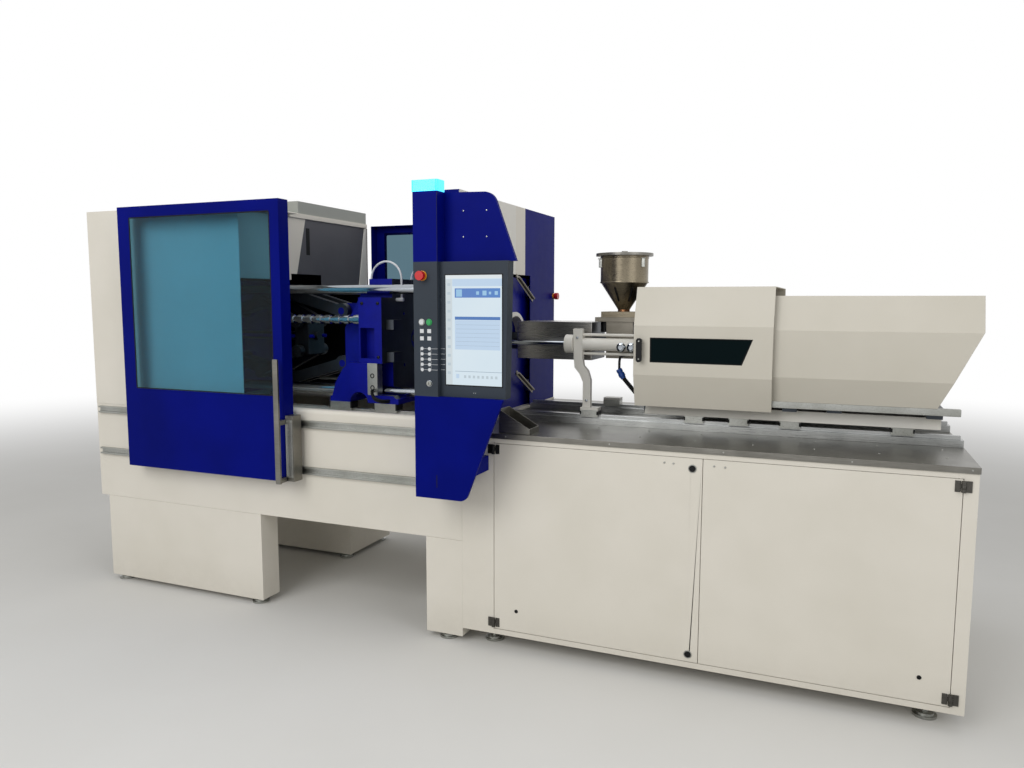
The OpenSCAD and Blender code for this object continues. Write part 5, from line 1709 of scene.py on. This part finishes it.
@dataclass
class Studio:
    """A pale floor, a white backdrop and soft lamps. Lengths are in metres."""

    floor_size: float = 60.0
    floor_colour: str = "#D9D8D5"
    floor_shade: str = "#D0CFCB"
    grain_mm: float = 900.0
    fade: Span = (4.0, 12.0)
    sky_on_object: float = 0.5
    lamps: tuple[Lamp, ...] = (
        Lamp("front_lamp", (-1.5, -6.0, 4.2), (0.0, 0.0, 1.0), 4.0, 190.0),
        Lamp("right_lamp", (5.5, -3.5, 3.6), (1.0, 0.0, 1.0), 3.0, 60.0),
        Lamp("roof_lamp", (0.5, 0.5, 5.5), (0.5, 0.0, 0.0), 5.0, 80.0))
    camera_place: Point = (1.6865, -3.823, 1.626)
    camera_turn: Point = (83.913, -0.09, 22.361)
    lens_mm: float = 27.51
    picture_mm: float = 36.0

    def camera(self) -> None:
        """Puts the camera where the photograph was taken."""
        data = bpy.data.cameras.new("photo_camera")
        data.lens = self.lens_mm
        data.sensor_width = self.picture_mm
        camera = placed("photo_camera", data)
        camera.location = self.camera_place
        camera.rotation_euler = [math.radians(a) for a in self.camera_turn]
        bpy.context.scene.camera = camera

    def floor_material(self) -> bpy.types.Material:
        """Builds the floor's finish, which fades to the white backdrop far from the machine.

        Returns:
            The material.
        """
        material, tree, place = bench("studio_floor")
        grain = put(tree, "ShaderNodeTexNoise", {"Vector": place, "Scale": per(self.grain_mm), "Detail": 6.0})
        tone = put(tree, "ShaderNodeMix", {
            0: grain.outputs["Fac"], 6: linear(self.floor_colour), 7: linear(self.floor_shade)},
                   data_type="RGBA")
        matt = put(tree, "ShaderNodeBsdfDiffuse", {"Color": tone.outputs[2]})
        far = put(tree, "ShaderNodeVectorMath", {0: place}, operation="LENGTH")
        fade = put(tree, "ShaderNodeMapRange", {
            "Value": far.outputs["Value"], "From Min": self.fade[0], "From Max": self.fade[1]},
                   interpolation_type="SMOOTHSTEP")
        share = put(tree, "ShaderNodeMath", {
            0: fade.outputs[0], 1: self.seen_directly(tree)}, operation="MULTIPLY")
        white = put(tree, "ShaderNodeEmission", {"Color": linear("#FFFFFF"), "Strength": 1.0})
        mixed = put(tree, "ShaderNodeMixShader", {
            0: share.outputs[0], 1: matt.outputs[0], 2: white.outputs[0]})
        put(tree, "ShaderNodeOutputMaterial", {"Surface": mixed.outputs[0]})
        return material

    @staticmethod
    def seen_directly(tree: Tree) -> Socket:
        """Gives 1 for rays from the camera and for what metal and glass show, and 0 for light.

        Args:
            tree: The node tree.

        Returns:
            The socket.
        """
        path = put(tree, "ShaderNodeLightPath").outputs
        seen = path["Is Camera Ray"]
        for kind in ("Is Glossy Ray", "Is Transmission Ray"):
            seen = put(tree, "ShaderNodeMath", {0: seen, 1: path[kind]}, operation="MAXIMUM").outputs[0]
        return seen

    def world(self) -> None:
        """Makes the backdrop white and gives the object soft light from all round."""
        world = bpy.data.worlds.new("studio_world")
        bpy.context.scene.world = world
        world.use_nodes = True
        tree = world.node_tree
        tree.nodes.clear()
        strength = put(tree, "ShaderNodeMapRange", {
            "Value": self.seen_directly(tree), "To Min": self.sky_on_object, "To Max": 1.0}).outputs[0]
        sky = put(tree, "ShaderNodeBackground", {"Color": linear("#FFFFFF"), "Strength": strength})
        put(tree, "ShaderNodeOutputWorld", {"Surface": sky.outputs[0]})

    def build(self) -> None:
        """Makes the floor, the backdrop and the lamps."""
        bpy.ops.object.select_all(action="DESELECT")
        bpy.ops.mesh.primitive_plane_add(size=self.floor_size, location=(0.0, 0.0, 0.0))
        floor = bpy.context.active_object
        floor.name = "studio_floor"
        floor.data.materials.append(self.floor_material())
        self.world()
        for lamp in self.lamps:
            data = bpy.data.lights.new(lamp.name, "AREA")
            data.size = lamp.size
            data.energy = lamp.power
            piece = placed(lamp.name, data)
            piece.location = lamp.place
            aim = Vector(lamp.target) - Vector(lamp.place)
            piece.rotation_euler = aim.to_track_quat("-Z", "Y").to_euler()
        bpy.context.scene.view_settings.view_transform = "Standard"


def main() -> None:
    """Builds the sub-assemblies in order."""
    logging.basicConfig(level=logging.INFO, format="%(name)s %(message)s")
    studio = Studio()
    studio.camera()
    shown = ShowPieces().build()
    for trim in (CabinetTrim(), GuardTrim(), ClampTrim(), PlatenCoverBands(), ControlTrim(), InjectionTrim(),
                 HopperTrim(), CoverTrim(), EndCoverTrim()):
        trim.build(shown)
        LOG.info("trimmed with %s", type(trim).__name__)
    studio.build()


if __name__ == "__main__":
    main()
